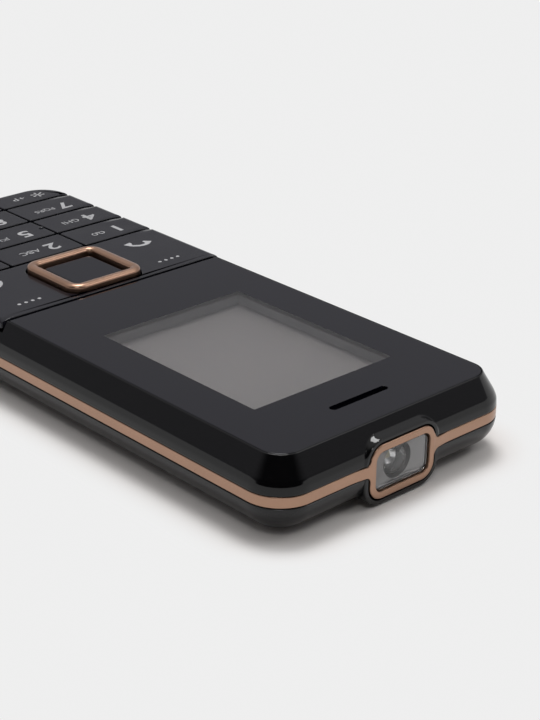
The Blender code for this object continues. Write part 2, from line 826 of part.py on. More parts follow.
def build_chassis():
    """Moulded inner frame: battery bay open to the back, hollows for tall parts, screw wells."""
    sections = belly(cover_wall + seat_gap, chassis_low, cover_rim, edge_steps)
    sections.append((outline(cover_wall + seat_gap), chassis_high))
    chassis = loft("rear_chassis", [sections], inner_black)
    bay_half_x = battery_half_x + seat_gap
    turn = belly_round - chassis_wall
    side = half_width - turn
    tail = tail_end + turn
    top = top_end - belly_round
    open_high = chassis_high + overrun
    tail_hollow = rounded(-side, side, tail, bay_low_y - bay_wall, pocket_corner)
    top_hollow = rounded(-side, side, bay_high_y + bay_wall, top, pocket_corner)
    hollows = [prism(tail_hollow, pocket_floor, open_high), prism(top_hollow, pocket_floor, open_high)]
    for sign in (1, -1):
        inner = bay_half_x + rail_wall
        centre = sign * (inner + side) / 2
        rail = block(centre, (side - inner) / 2, bay_low_y + rail_end, bay_high_y - rail_end)
        hollows.append(prism(rail, pocket_floor, open_high))
    hollow = loft("chassis_hollows", hollows)
    posts = [
        prism(circle((x, y), screw_post_radius, small_steps), chassis_low, chassis_high + 2 * overrun)
        for _, x, y in screw_places()
    ]
    cut(hollow, "screw_posts", posts)
    combine(chassis, "DIFFERENCE", hollow)
    bay = block(0, bay_half_x, bay_low_y, bay_high_y)
    cut(chassis, "battery_bay", [prism(bay, chassis_low - overrun, roof_low)])
    windows = []
    for _, x, y, half_x, half_y in card_places():
        reach = half_y + seat_gap
        window = block(x, half_x + seat_gap, y - reach, y + reach)
        windows.append(prism(window, roof_low - overrun, board_low))
    notch_end = bay_high_y + contact_depth + 2 * seat_gap
    notch = block(0, contact_half_x + seat_gap, bay_high_y - seat_gap, notch_end)
    windows.append(prism(notch, contact_low - seat_gap, board_low))
    cut(chassis, "roof_windows", windows)
    wells = []
    for _, x, y in screw_places():
        well = circle((x, y), screw_head_radius + screw_well_gap, small_steps)
        hole = circle((x, y), screw_hole_radius, small_steps)
        head_room = [(well, chassis_low - overrun), (well, screw_seat)]
        wells.append(head_room + [(hole, screw_seat), (hole, board_low)])
    cut(chassis, "screw_wells", wells)
    torch_half = bezel_half_x + seat_gap
    torch_low = bezel_z - bezel_half_z - seat_gap
    torch_space = block(0, torch_half, torch_low, chassis_high + overrun)
    cut(chassis, "torch_space", [prism(torch_space, top - overrun, top_end + overrun)], "Y")
    sockets = []
    for x, half_x, low, depth in socket_spaces():
        space = block(x, half_x + seat_gap, low - seat_gap, chassis_high + overrun)
        sockets.append(prism(space, tail_end - overrun, tail_end + depth + seat_gap))
    cut(chassis, "socket_spaces", sockets, "Y")
    port = speaker_port_margin
    grille_half_y = speaker_half_y - port
    grille = block(speaker_x, speaker_half_x - port, speaker_y - grille_half_y, speaker_y + grille_half_y)
    barrel = circle((0, camera_y), camera_barrel_radius + seat_gap, 2 * small_steps)
    floor_high = pocket_floor + overrun
    floor_holes = [prism(points, chassis_low - overrun, floor_high) for points in (grille, barrel)]
    cut(chassis, "floor_openings", floor_holes)
    return chassis


def card_places():
    """The card holders, as name, place and half sizes."""
    return (
        ("sim_holder_1", -sim_x, sim_y, sim_half_x, sim_half_y),
        ("sim_holder_2", sim_x, sim_y, sim_half_x, sim_half_y),
        ("memory_card_holder", 0, memory_y, memory_half_x, memory_half_y),
    )


def socket_spaces():
    """The sockets in the tail end, as place, half width, underside and depth from the band's face."""
    return (
        (usb_x, usb_half_x, usb_low, usb_setback + usb_depth),
        (jack_x, jack_half_x, jack_axis_z - jack_half_z, jack_setback + jack_nose + jack_depth),
    )


def key_slab():
    """The keypad's whole surface as one slab with rolled outer edges, which every key is cut from."""
    profile = (
        (key_side_inset, key_skirt),
        (key_side_inset, key_side_high),
        (key_roll_inset, key_roll_high),
        (key_flat_inset, key_plane),
    )
    slab = loft("keypad_slab", [[(outline(inset), height) for inset, height in profile]])
    slab.hide_render = True
    slab.display_type = "WIRE"
    return slab


def key_cap(name, low_x, high_x, low_y, high_y, slab):
    """One key cap: the cell between its gap lines, eased at its upper edges, shaped by the slab."""
    eased = key_plane - key_edge_drop
    inset = key_edge_inset
    cell = rounded(low_x, high_x, low_y, high_y, 0)
    upper = rounded(low_x + inset, high_x - inset, low_y + inset, high_y - inset, 0)
    levels = [(cell, key_skirt - overrun), (cell, eased), (upper, key_plane), (upper, key_plane + overrun)]
    cap = loft(name, [levels], key_black)
    combine(cap, "INTERSECT", slab)
    return cap


def number_places():
    """The twelve number keys, as name, column and row, with the phone's left column first."""
    labels = (("1", "2", "3"), ("4", "5", "6"), ("7", "8", "9"), ("star", "0", "hash"))
    places = []
    for row, line in enumerate(labels):
        for column, label in enumerate(line):
            places.append((f"key_{label}", column, row))
    return places


def column_span(column):
    """Low and high x of a key column, between its gap lines; the outer columns run over the edge."""
    half_gap = column_gap / 2
    if column == 0:
        return -half_width - overrun, -column_line - half_gap
    if column == 1:
        return -column_line + half_gap, column_line - half_gap
    return column_line + half_gap, half_width + overrun


def row_span(row):
    """Low and high y of a number row; the last row runs over the tail end."""
    high = row_line - row * row_pitch - row_gap / 2
    low = row_line - (row + 1) * row_pitch + row_gap / 2
    if row == last_row:
        low = tail_end - overrun
    return low, high


def key_centre(column, row):
    """The middle of a key's flat top, where its plunger and its dome are."""
    x = (column - 1) * column_centre
    low, high = row_span(row)
    return x, (max(low, keypad_tail) + high) / 2


def dome_places():
    """Every dome contact on the board under the keypad, with the plunger's radius above it."""
    places = [(*key_centre(column, row), plunger_radius) for _, column, row in number_places()]
    for sign_x in (1, -1):
        for sign_y in (1, -1):
            x = sign_x * column_centre
            places.append((x, function_y + sign_y * function_plunger_y, function_plunger_radius))
    places += [(x, y, nav_plunger_radius) for x, y in nav_plunger_places()]
    places.append((0, function_y, plunger_radius))
    return places


def nav_plunger_places():
    """The four direction contacts under the navigation ring."""
    reach = nav_plunger_reach
    return [(reach, function_y), (-reach, function_y), (0, function_y + reach), (0, function_y - reach)]


def build_keys():
    """Twelve number keys and the function plate, each cut from the keypad's surface, with plungers."""
    slab = key_slab()
    for name, column, row in number_places():
        cap = key_cap(name, *column_span(column), *row_span(row), slab)
        x, y = key_centre(column, row)
        post = circle((x, y), plunger_radius, small_steps)
        join(cap, f"{name}_plunger", [prism(post, plunger_low, key_side_high)])
        if name == "key_5":
            nub_x = column_span(column)[0] + nub_from_side
            nub = [
                (circle((nub_x, y), nub_radius, small_steps), key_plane - nub_rise),
                (circle((nub_x, y), nub_radius, small_steps), key_plane),
                (circle((nub_x, y), nub_radius / 2, small_steps), key_plane + nub_rise),
            ]
            join(cap, "key_5_nub", [nub])
        set_origin(cap, (x, y, key_skirt))
    reach = half_width + overrun
    high_y = seam_y - seam_gap
    plate = key_cap("function_plate", -reach, reach, row_line + row_gap / 2, high_y, slab)
    cut(plate, "ring_opening", [prism(ring_outline(ring_gap), key_skirt - overrun, key_plane + overrun)])
    set_origin(plate, (0, function_y, function_pad_high))


def ring_outline(growth):
    """The navigation ring's outline, moved outwards by growth."""
    half_u = ring_half_x + growth
    half_v = ring_half_y + growth
    return rounded(-half_u, half_u, function_y - half_v, function_y + half_v, ring_corner + growth)


def build_function_pad():
    """Silicone web under the function plate, with one plunger under each of its four corners."""
    side = half_width - cavity_top_inset - 2 * seat_gap
    low_y = row_line + row_gap
    high_y = seam_y - seam_gap - seat_gap
    web = prism(rounded(-side, side, low_y, high_y, ring_width), function_pad_low, function_pad_high)
    pad = loft("function_pad", [web], silicone)
    opening = prism(ring_outline(ring_gap), function_pad_low - overrun, function_pad_high + overrun)
    cut(pad, "pad_opening", [opening])
    plungers = []
    for sign_x in (1, -1):
        for sign_y in (1, -1):
            centre = (sign_x * column_centre, function_y + sign_y * function_plunger_y)
            foot = circle(centre, function_plunger_radius, small_steps)
            plungers.append(prism(foot, plunger_low, function_pad_high - stack_gap))
    join(pad, "pad_plungers", plungers)
    set_origin(pad, (0, function_y, function_pad_high))


def build_navigation():
    """Metal navigation ring with a rounded top, its silicone pad and the flat centre key."""
    top = lens_plane + ring_rise
    round_start = top - ring_width / 2
    sections = [(ring_outline(0), ring_low)]
    for step in range(edge_steps + 1):
        angle = step / edge_steps * pi / 2
        inset = ring_width / 2 * (1 - cos(angle))
        sections.append((ring_outline(-inset), round_start + (top - round_start) * sin(angle)))
    ring = loft("nav_ring", [sections], rose_gold)
    inner = -ring_width
    bore = [
        (ring_outline(inner), ring_low - overrun),
        (ring_outline(inner), round_start),
        (ring_outline(inner + ring_ease), round_start + ring_ease_rise),
        (ring_outline(-ring_width / 2), top),
        (ring_outline(-ring_width / 2), top + overrun),
    ]
    cut(ring, "ring_bore", [bore])
    set_origin(ring, (0, function_y, nav_pad_high))

    pad = loft("nav_pad", [prism(ring_outline(-seat_gap), nav_pad_low, nav_pad_high)], silicone)
    hole = circle((0, function_y), plunger_radius + plunger_hole_gap)
    cut(pad, "nav_pad_hole", [prism(hole, nav_pad_low - overrun, nav_pad_high + overrun)])
    feet = [
        prism(circle(centre, nav_plunger_radius, small_steps), plunger_low, nav_pad_high - stack_gap)
        for centre in nav_plunger_places()
    ]
    join(pad, "nav_pad_feet", feet)
    set_origin(pad, (0, function_y, nav_pad_high))

    key_top = lens_plane + centre_key_rise
    growth = -ring_width - seat_gap
    levels = [
        (ring_outline(growth), centre_key_low),
        (ring_outline(growth), key_top - key_edge_drop),
        (ring_outline(growth - key_edge_inset), key_top),
    ]
    key = loft("center_key", [levels], key_black)
    post = circle((0, function_y), plunger_radius, small_steps)
    join(key, "center_plunger", [prism(post, plunger_low, centre_key_low + stack_gap)])
    set_origin(key, (0, function_y, centre_key_low))


def build_keypad_layers():
    """Silicone mat and steel frame that guide the plungers, and the dome sheet on the board."""
    side = half_width - cavity_top_inset - seat_gap
    tail = tail_end + cavity_top_inset + seat_gap
    radius = corner_radius - cavity_top_inset - seat_gap
    lugs = [(x, y) for _, x, y in screw_places() if y < seam_y]
    cleared = lug_radius + lug_clearance

    mat_outline = rounded(-side, side, tail, row_line, (0, 0, radius, radius))
    mat = loft("keypad_mat", [prism(mat_outline, mat_low, mat_high)], silicone)
    low = mat_low - overrun
    high = mat_high + overrun
    holes = [
        prism(circle((x, y), size + plunger_hole_gap, small_steps), low, high)
        for x, y, size in dome_places()
        if y < row_line
    ]
    cut(mat, "mat_holes", holes)
    cut(mat, "mat_corners", [prism(circle(lug, cleared), low, high) for lug in lugs])

    frame_outline = rounded(-side, side, tail, seam_y - seam_gap, (0, 0, radius, radius))
    frame = loft("keypad_frame", [prism(frame_outline, frame_low, frame_high)], steel)
    low = frame_low - overrun
    high = frame_high + overrun
    holes = [
        prism(circle((x, y), size + plunger_hole_gap, small_steps), low, high)
        for x, y, size in dome_places()
    ]
    cut(frame, "frame_holes", holes)
    cut(frame, "frame_corners", [prism(circle(lug, cleared), low, high) for lug in lugs])

    sheet = loft("dome_sheet", [prism(frame_outline, dome_low, dome_base)], steel)
    caps = []
    for x, y, _ in dome_places():
        inner = dome_radius * dome_inner_share
        caps.append([
            (circle((x, y), dome_radius, dome_steps), dome_base - dome_sheet_thickness / 2),
            (circle((x, y), dome_radius, dome_steps), dome_base),
            (circle((x, y), inner, dome_steps), dome_base + dome_height * dome_crown_share),
            (circle((x, y), dome_radius * dome_tip_share, dome_steps), dome_top),
        ])
    join(sheet, "dome_caps", caps)
    corners = [prism(circle(lug, cleared), dome_low - overrun, dome_top + overrun) for lug in lugs]
    cut(sheet, "sheet_corners", corners)


def build_board():
    """Main circuit board with its screw holes, and the shield cans, card holders and antenna on it."""
    side = half_width - board_inset
    tail = tail_end + board_inset
    points = rounded(-side, side, tail, top_end - board_top_setback, board_corner)
    board = loft("main_pcb", [prism(points, board_low, board_high)], board_green)
    holes = [
        prism(circle((x, y), screw_hole_radius, small_steps), board_low - overrun, board_high + overrun)
        for _, x, y in screw_places()
    ]
    cut(board, "board_holes", holes)

    shields = (
        ("baseband_shield", baseband_x, baseband_y, baseband_half_x, baseband_half_y),
        ("radio_shield", radio_x, radio_y, radio_half_x, radio_half_y),
    )
    for name, x, y, half_x, half_y in shields:
        can = block(x, half_x, y - half_y, y + half_y, shield_corner)
        loft(name, [prism(can, board_hang - shield_height, board_hang)], steel)

    for name, x, y, half_x, half_y in card_places():
        tray = block(x, half_x, y - half_y, y + half_y)
        holder = loft(name, [prism(tray, chassis_high - card_thickness, chassis_high)], steel)
        mouth_low = chassis_high - card_thickness / 2 - card_mouth / 2
        mouth = block(x, half_x - card_mouth_margin, y - half_y - overrun, y + half_y - card_mouth_margin)
        cut(holder, f"{name}_mouth", [prism(mouth, mouth_low, mouth_low + card_mouth)])

    low_y = antenna_y - antenna_half_y
    high_y = antenna_y + antenna_half_y
    floor = inner_seat
    sheet = block(0, antenna_half_x, low_y, high_y)
    strip = loft("antenna", [prism(sheet, floor, floor + antenna_sheet)], copper_film)
    leg = block(-antenna_half_x + antenna_leg, antenna_leg / 2, low_y, low_y + antenna_sheet)
    join(strip, "antenna_leg", [prism(leg, floor + antenna_sheet / 2, board_hang)])


def build_battery():
    """Flat removable cell and the spring contact block in the bay's end wall."""
    points = block(0, battery_half_x, battery_low_y, battery_high_y)
    cell = loft("battery", [prism(points, battery_low, battery_high)], cell_grey)
    edge = cell.modifiers.new("edge", "BEVEL")
    edge.width = battery_edge
    edge.segments = 2
    start = battery_high_y + 2 * seat_gap
    points = block(0, contact_half_x, start, start + contact_depth)
    contacts = loft("battery_contacts", [prism(points, contact_low, chassis_high)], inner_black)
    leaves = []
    for index in (-1, 0, 1):
        leaf_end = start + contact_depth / 2
        leaf = block(index * contact_pitch, contact_leaf / 2, start - contact_leaf_proud, leaf_end)
        leaves.append(prism(leaf, contact_low + contact_leaf, chassis_high - contact_leaf))
    join(contacts, "contact_leaves", leaves)


def build_sound_and_motion():
    """Earpiece, loudspeaker, microphone, and the vibration motor with its off-centre weight."""
    earpiece = block(0, earpiece_half_x, slot_y - earpiece_half_y, slot_y + earpiece_half_y, shield_corner)
    loft("earpiece_speaker", [prism(earpiece, dome_low, plate_low - stack_gap)], inner_black)
    low_y = speaker_y - speaker_half_y
    high_y = speaker_y + speaker_half_y
    speaker = block(speaker_x, speaker_half_x, low_y, high_y, speaker_corner)
    loft("loudspeaker", [prism(speaker, inner_seat, inner_seat + speaker_thickness)], inner_black)
    capsule = circle((microphone_x, microphone_y), microphone_radius)
    loft("microphone", [prism(capsule, board_hang - microphone_thickness, board_hang)], steel)

    axis = (motor_y, inner_seat + weight_radius)
    can = circle(axis, motor_radius)
    motor = loft("vibration_motor", [prism(can, motor_x, motor_x + motor_length)], steel, "X")
    bearing = circle(axis, motor_bearing, small_steps)
    cut(motor, "motor_bearing", [prism(bearing, motor_x - overrun, motor_x + motor_bearing_depth)], "X")
    weight_high = motor_x - weight_gap
    weight_low = weight_high - weight_length
    half_turn = [pi + pi * step / small_steps for step in range(small_steps + 1)]
    segment = [
        (axis[0] + weight_radius * cos(angle), axis[1] + weight_radius * sin(angle))
        for angle in half_turn
    ]
    neck = axis[1] + motor_shaft_radius
    segment += [(axis[0] + motor_shaft_radius, neck), (axis[0] - motor_shaft_radius, neck)]
    weight = loft("vibration_weight", [prism(segment, weight_low, weight_high)], steel, "X")
    shaft = circle(axis, motor_shaft_radius, small_steps)
    shaft_end = motor_x + motor_bearing_depth - stack_gap
    join(weight, "weight_shaft", [prism(shaft, weight_low + weight_gap, shaft_end)], "X")
    set_origin(weight, (weight_low, *axis))


def build_camera():
    """Rear camera module on the chassis floor, and its window, which stands in the rear cover's hole."""
    body = block(0, camera_half, camera_y - camera_half, camera_y + camera_half)
    camera = loft("camera_module", [prism(body, inner_seat, board_hang)], inner_black)
    barrel = circle((0, camera_y), camera_barrel_radius)
    barrel_low = chassis_low + stack_gap
    join(camera, "camera_barrel", [prism(barrel, barrel_low, inner_seat + stack_gap)])
    pane = circle((0, camera_y), camera_window_radius, 2 * small_steps)
    loft("camera_window", [prism(pane, camera_window_setback, cover_wall)], lens_black)


def build_sockets():
    """Micro data socket and headphone socket in the tail end, each with feet up to the board."""
    mouth_y = tail_end + usb_setback
    shell = block(usb_x, usb_half_x, usb_low, usb_high, usb_corner)
    socket = loft("usb_socket", [prism(shell, mouth_y, mouth_y + usb_depth)], steel, "Y")
    centre = (usb_low + usb_high) / 2
    bore = block(usb_x, usb_mouth_half_x, centre - usb_mouth_half_z, centre + usb_mouth_half_z)
    cut(socket, "usb_mouth", [prism(bore, mouth_y - overrun, mouth_y + usb_mouth_depth)], "Y")
    feet = []
    for sign in (1, -1):
        foot = block(usb_x + sign * (usb_half_x - usb_foot), usb_foot / 2, usb_high - stack_gap, board_hang)
        feet.append(prism(foot, mouth_y + usb_depth - 2 * usb_foot, mouth_y + usb_depth - usb_foot))
    join(socket, "usb_feet", feet, "Y")

    nose_y = tail_end + jack_setback
    axis = (jack_x, jack_axis_z)
    body_y = nose_y + jack_nose
    body = block(jack_x, jack_half_x, jack_axis_z - jack_half_z, jack_axis_z + jack_half_z)
    jack = loft("audio_jack", [prism(body, body_y, body_y + jack_depth)], inner_black, "Y")
    nose = circle(axis, jack_nose_radius - seat_gap / 2)
    join(jack, "jack_nose", [prism(nose, nose_y, body_y + stack_gap)], "Y")
    bore = circle(axis, jack_bore_radius)
    cut(jack, "jack_bore", [prism(bore, nose_y - overrun, nose_y + jack_bore_depth)], "Y")
    foot = block(jack_x, jack_half_x / 2, jack_axis_z + jack_half_z - stack_gap, board_hang)
    foot_y = body_y + jack_foot_from_body
    join(jack, "jack_foot", [prism(foot, foot_y, foot_y + jack_foot)], "Y")


def build_screws():
    """Six pan-head screws that hold the chassis and the board to the front cover's lugs."""
    for name, x, y in screw_places():
        head_high = screw_seat - stack_gap
        head = circle((x, y), screw_head_radius, small_steps)
        crown = circle((x, y), screw_head_radius * screw_crown_share, small_steps)
        shank = circle((x, y), screw_shank_radius, small_steps)
        head_low = head_high - screw_head
        levels = [
            (crown, head_low),
            (head, head_low + screw_crown),
            (head, head_high),
            (shank, head_high),
            (shank, screw_tip),
        ]
        loft(f"screw_{name}", [levels], steel)


clear_scene()
build_front_cover()
build_screen()
build_band()
build_torch()
build_rear_cover()
build_chassis()
build_keys()
build_function_pad()
build_navigation()
build_keypad_layers()
build_board()
build_battery()
build_sound_and_motion()
build_camera()
build_sockets()
build_screws()
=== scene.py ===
"""Keypad mobile phone: the looks of a black bar phone with a rose-gold band and a torch in its top end.

Sizes here are in millimetres, and every mesh is turned into metres when it is made.
+Z is out of the screen, +Y towards the torch end and +X the right-hand side of somebody who reads the screen.
"""

import math

import bmesh
import bpy
import numpy as np
from mathutils import Matrix, Vector


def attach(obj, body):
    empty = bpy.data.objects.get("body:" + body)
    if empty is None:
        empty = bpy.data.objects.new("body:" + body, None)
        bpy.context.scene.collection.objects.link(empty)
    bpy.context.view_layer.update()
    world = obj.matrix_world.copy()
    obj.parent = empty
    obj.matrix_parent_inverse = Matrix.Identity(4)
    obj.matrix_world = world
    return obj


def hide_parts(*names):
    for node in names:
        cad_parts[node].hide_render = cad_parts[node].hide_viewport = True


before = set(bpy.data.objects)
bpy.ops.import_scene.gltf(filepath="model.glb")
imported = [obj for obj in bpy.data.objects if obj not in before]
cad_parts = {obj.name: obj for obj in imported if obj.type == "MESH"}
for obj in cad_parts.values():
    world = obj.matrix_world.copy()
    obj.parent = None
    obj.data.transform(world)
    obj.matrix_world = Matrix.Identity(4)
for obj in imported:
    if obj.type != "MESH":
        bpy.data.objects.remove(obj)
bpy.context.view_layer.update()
mm = 0.001

# The studio: a white table with a low white surround, a plain grey room above it, one wide soft lamp
# overhead and two small ones in front and to the right. The camera is where the photograph was taken,
# low over the torch end.
floor_white = (0.86, 0.86, 0.86, 1.0)
# The table's base colour is warmer than its white glow: a painted warm tint that stands for light bounced
# from the rose-gold band into the shadow round the phone.
floor_paint_bounce_tint = (0.86, 0.825, 0.8, 1.0)
floor_radius = 1300.0
floor_levels = (-4.0, -0.01)
surround_height = 400.0
surround_depth = 500.0
surround_overlap = 40.0
surround_drop = 0.2
shadow_core = (17.7, 53.7, 1.0)
shadow_corner = 8.0
shadow_reach = (-1.0, 8.0)


def placed(name, data):
    """Object made of a mesh, a lamp, a camera or a text, and put in the scene."""
    made = bpy.data.objects.new(name, data)
    bpy.context.collection.objects.link(made)
    return made


def surface(name, points, closed, material, caps=False):
    """Mesh of a grid of points: row i, column j is joined to its four neighbours.

    closed says whether the rows and the columns join up with themselves; caps fills the first and last row.
    """
    rows, columns = points.shape[:2]
    index = np.arange(rows * columns).reshape(rows, columns)
    if closed[0]:
        index = np.concatenate([index, index[:1]], axis=0)
    if closed[1]:
        index = np.concatenate([index, index[:, :1]], axis=1)
    quads = np.stack([index[:-1, :-1], index[:-1, 1:], index[1:, 1:], index[1:, :-1]], axis=-1).reshape(-1, 4)
    faces = quads.tolist()
    if caps:
        faces += [index[0, :columns][::-1].tolist(), index[-1, :columns].tolist()]
    mesh = bpy.data.meshes.new(name)
    mesh.from_pydata((points.reshape(-1, 3) * mm).tolist(), [], faces)
    mesh.materials.append(material)
    return placed(name, mesh)


def feed(tree, node, inputs):
    """Set a node's inputs by name or number, each to a value or to the output that feeds it."""
    for key, value in inputs.items():
        if isinstance(value, bpy.types.NodeSocket):
            tree.links.new(value, node.inputs[key])
        else:
            node.inputs[key].default_value = value


def add(tree, kind, inputs, output=0, **settings):
    """Add a node with its settings and inputs, and give back one of its outputs."""
    node = tree.nodes.new(f"ShaderNode{kind}")
    for setting, value in settings.items():
        setattr(node, setting, value)
    feed(tree, node, inputs)
    return node.outputs[output]


def spread(tree, value, to, ends=(0.0, 1.0), fade="LINEAR"):
    """Carry a value between two ends over to another range."""
    limits = {"From Min": ends[0], "From Max": ends[1], "To Min": to[0], "To Max": to[1]}
    return add(tree, "MapRange", {"Value": value, **limits}, interpolation_type=fade)


def blend(tree, value, low, high, ends=(0.0, 1.0)):
    """Colour ramp from a low to a high colour, as a value goes from one end to the other."""
    ramp = tree.nodes.new("ShaderNodeValToRGB")
    for stop, end, colour in zip(ramp.color_ramp.elements, ends, (low, high)):
        stop.position = end
        stop.color = (*colour, 1.0)
    feed(tree, ramp, {"Fac": value})
    return ramp.outputs["Color"]


def node_material(name):
    """A node material, its tree, its shader and the object coordinates."""
    made = bpy.data.materials.new(name)
    made.use_nodes = True
    tree = made.node_tree
    return made, tree, tree.nodes["Principled BSDF"], add(tree, "TexCoord", {}, "Object")


def mix_in(tree, share, shader, other):
    """Show the other shader in place of the first one, by a share."""
    mixed = add(tree, "MixShader", {0: share, 1: shader.outputs[0], 2: other})
    feed(tree, tree.nodes["Material Output"], {"Surface": mixed})


def even_white(name):
    """Matt white for light; away from the object, what the camera or a reflection sees is an even glow.

    The glow grows with the distance from the object's outline, so nearer the shadow stays. The outline is
    a rounded rectangle: |place| - core, its parts kept positive, taken as a length, less the corner.
    """
    made, tree, shader, place = node_material(name)
    # The base colour carries the painted warm bounce tint, which shows near the phone where the glow gives
    # way to real shading.
    feed(tree, shader, {"Base Color": floor_paint_bounce_tint, "Roughness": 1.0, "Specular IOR Level": 0.0})
    glow = add(tree, "Emission", {"Color": floor_white, "Strength": 1.0})
    rays = add(tree, "LightPath", {}).node.outputs
    seen = add(tree, "Math", {0: rays["Is Camera Ray"], 1: rays["Is Glossy Ray"]}, operation="MAXIMUM")
    seen = add(tree, "Math", {0: seen, 1: rays["Is Transmission Ray"]}, operation="MAXIMUM")
    away = add(tree, "VectorMath", {0: place}, operation="ABSOLUTE")
    away = add(tree, "VectorMath", {0: away, 1: Vector(shadow_core) * mm}, operation="SUBTRACT")
    away = add(tree, "VectorMath", {0: away, 1: Vector()}, operation="MAXIMUM")
    away = add(tree, "VectorMath", {0: away}, "Value", operation="LENGTH")
    ends = [(shadow_corner + reach) * mm for reach in shadow_reach]
    far = spread(tree, away, (0.0, 1.0), ends, "SMOOTHERSTEP")
    mix_in(tree, add(tree, "Math", {0: seen, 1: far}, operation="MULTIPLY"), shader, glow)
    return made


turn = np.linspace(0, 2 * np.pi, 97)[:-1]
floor_level = np.array(floor_levels)[:, None]
floor_points = np.stack(
    [floor_radius * np.cos(turn) + 0 * floor_level, floor_radius * np.sin(turn) + 0 * floor_level,
     floor_level + 0 * turn], axis=-1
)
floor = surface("floor", floor_points, (False, True), even_white("table_white"), caps=True)
rise = np.linspace(0, 1, 17)[:, None] * np.pi / 2
wall_reach = floor_radius - surround_overlap + surround_depth * np.sin(rise)
wall_height = surround_height * (1 - np.cos(rise)) - surround_drop
wall_points = np.stack([wall_reach * np.cos(turn), wall_reach * np.sin(turn), wall_height + 0 * turn], -1)
surround = surface("surround", wall_points, (False, True), even_white("surround_white"))

# The room grows lighter upwards, and is nearly black behind the camera.
sky_low = (0.31, 0.308, 0.325)
sky_middle = (0.4, 0.397, 0.415, 1.0)
sky_high = (0.72, 0.72, 0.72)
sky_heights = (0.3, 0.45, 0.85)
dark_side = (0.685, 0.728, 0.0)
dark_ends = (0.05, 0.6)
dark_share = 0.06
lamp_aim = (0.0, 0.0, 8.0)
world = bpy.data.worlds.new("room")
world.use_nodes = True
bpy.context.scene.world = world
room = world.node_tree
way = add(room, "TexCoord", {}, "Generated")
sky = blend(room, add(room, "SeparateXYZ", {0: way}, "Z"), sky_low, sky_high, sky_heights[::2])
sky.node.color_ramp.elements.new(sky_heights[1]).color = sky_middle
side = add(room, "VectorMath", {0: way, 1: dark_side}, "Value", operation="DOT_PRODUCT")
dark = spread(room, side, (1.0, dark_share), dark_ends, "SMOOTHSTEP")
shown = add(room, "VectorMath", {0: sky, "Scale": dark}, operation="SCALE")
feed(room, room.nodes["Background"], {"Color": shown, "Strength": 1.0})


def lamp(name, place, size, power):
    """Square soft lamp at a place, turned towards the phone."""
    data = bpy.data.lights.new(name, "AREA")
    data.size = size * mm
    data.energy = power
    made = placed(name, data)
    made.location = Vector(place) * mm
    made.rotation_euler = (Vector(lamp_aim) - Vector(place)).to_track_quat("-Z", "Y").to_euler()


lamp("back_lamp", (-230.0, -260.0, 1000.0), 380.0, 5.3)
lamp("front_lamp", (420.0, 480.0, 820.0), 200.0, 1.0)
lamp("right_lamp", (-574.0, 433.0, 695.0), 300.0, 0.8)

camera_place = (173.50, 216.455, 127.20)
camera_right = (-0.73300645, 0.68004871, 0.01533966)
camera_down = (0.27006251, 0.31164266, -0.91101322)
camera_forward = (-0.62431386, -0.6636359, -0.41209174)
camera_data = bpy.data.cameras.new("camera")
camera_data.lens = 86.81
camera_data.sensor_width = 36.0
camera_data.clip_start = 10.0 * mm
camera_data.clip_end = 8000.0 * mm
camera = placed("camera", camera_data)
turned = Matrix((camera_right, -Vector(camera_down), -Vector(camera_forward))).transposed()
camera.matrix_world = Matrix.Translation(Vector(camera_place) * mm) @ turned.to_4x4()
bpy.context.scene.camera = camera
bpy.context.scene.view_settings.view_transform = "Standard"

# Rear cover: the lower shell, moulded in black plastic with a satin skin and clipped on from behind.
# Its sides are rounded like a quarter ellipse, and a collar at the top end follows the torch bezel.
body_box = (-25.7, 25.7, -62.2, 61.4)
body_corners = (6.4, 6.4, 8.1, 8.1)
cover_rim = 5.66
rim_ease = 0.08
belly_inset = 7.0
cover_wall = 1.1
hollow_top = 8.0
bezel_half = (7.0, 4.55)
bezel_corner = 2.6
bezel_z = 5.9
bezel_face = 61.7
bezel_room = [(0, 52.0), (0, 66.0)]
hood_front = 61.5
collar_width = 1.05
collar_back = 56.0
over_rim = (-12.0, 12.0, 50.0, 66.0)
rim_room = [(0, cover_rim), (0, 14.0)]
cover_gap = 0.3
usb_box = (-9.9, -2.1, 3.4, 6.0)
usb_corner = 0.5
jack_axis = (9.0, 3.9)
jack_radius = 2.3
port_room = [(0, -64.0), (0, -57.6)]
port_rise = 7.0
grille_middle = (-11.0, -35.5)
grille_count = 5
grille_pitch = 1.8
grille_half = (4.5, 0.4)
camera_axis = (0.0, 44.0)
camera_hole = 3.3
least_radius = 0.02
no_runs = ((), (), (), ())


def rounded_ring(box, radii, inset=0.0, arc=14, runs=no_runs):
    """Rounded rectangle as points, one row for each inset, anticlockwise from its high, high corner.

    The sides move inwards by the inset, and each corner is a quarter circle whose radius shrinks as much.
    runs gives extra points on the four straight sides, as shares of their length, from the high side on.
    """
    inset = np.atleast_1d(np.asarray(inset, float))[:, None]
    radii = np.broadcast_to(np.asarray(radii, float), (4,))
    sides = ((1, 1), (-1, 1), (-1, -1), (1, -1))
    arcs = []
    for quarter, (side_u, side_v) in enumerate(sides):
        radius = np.maximum(radii[quarter] - inset, least_radius)
        corner_u = box[1] - inset if side_u > 0 else box[0] + inset
        corner_v = box[3] - inset if side_v > 0 else box[2] + inset
        angle = (quarter + np.linspace(0, 1, arc + 1)) * np.pi / 2
        u = corner_u + radius * (np.cos(angle) - side_u)
        v = corner_v + radius * (np.sin(angle) - side_v)
        arcs.append(np.stack([u, v], axis=-1))
    parts = []
    for quarter in range(4):
        start = arcs[quarter][:, -1:]
        end = arcs[(quarter + 1) % 4][:, :1]
        share = np.asarray(runs[quarter], float)[None, :, None]
        parts += [arcs[quarter], start + (end - start) * share]
    return np.concatenate(parts, axis=1)


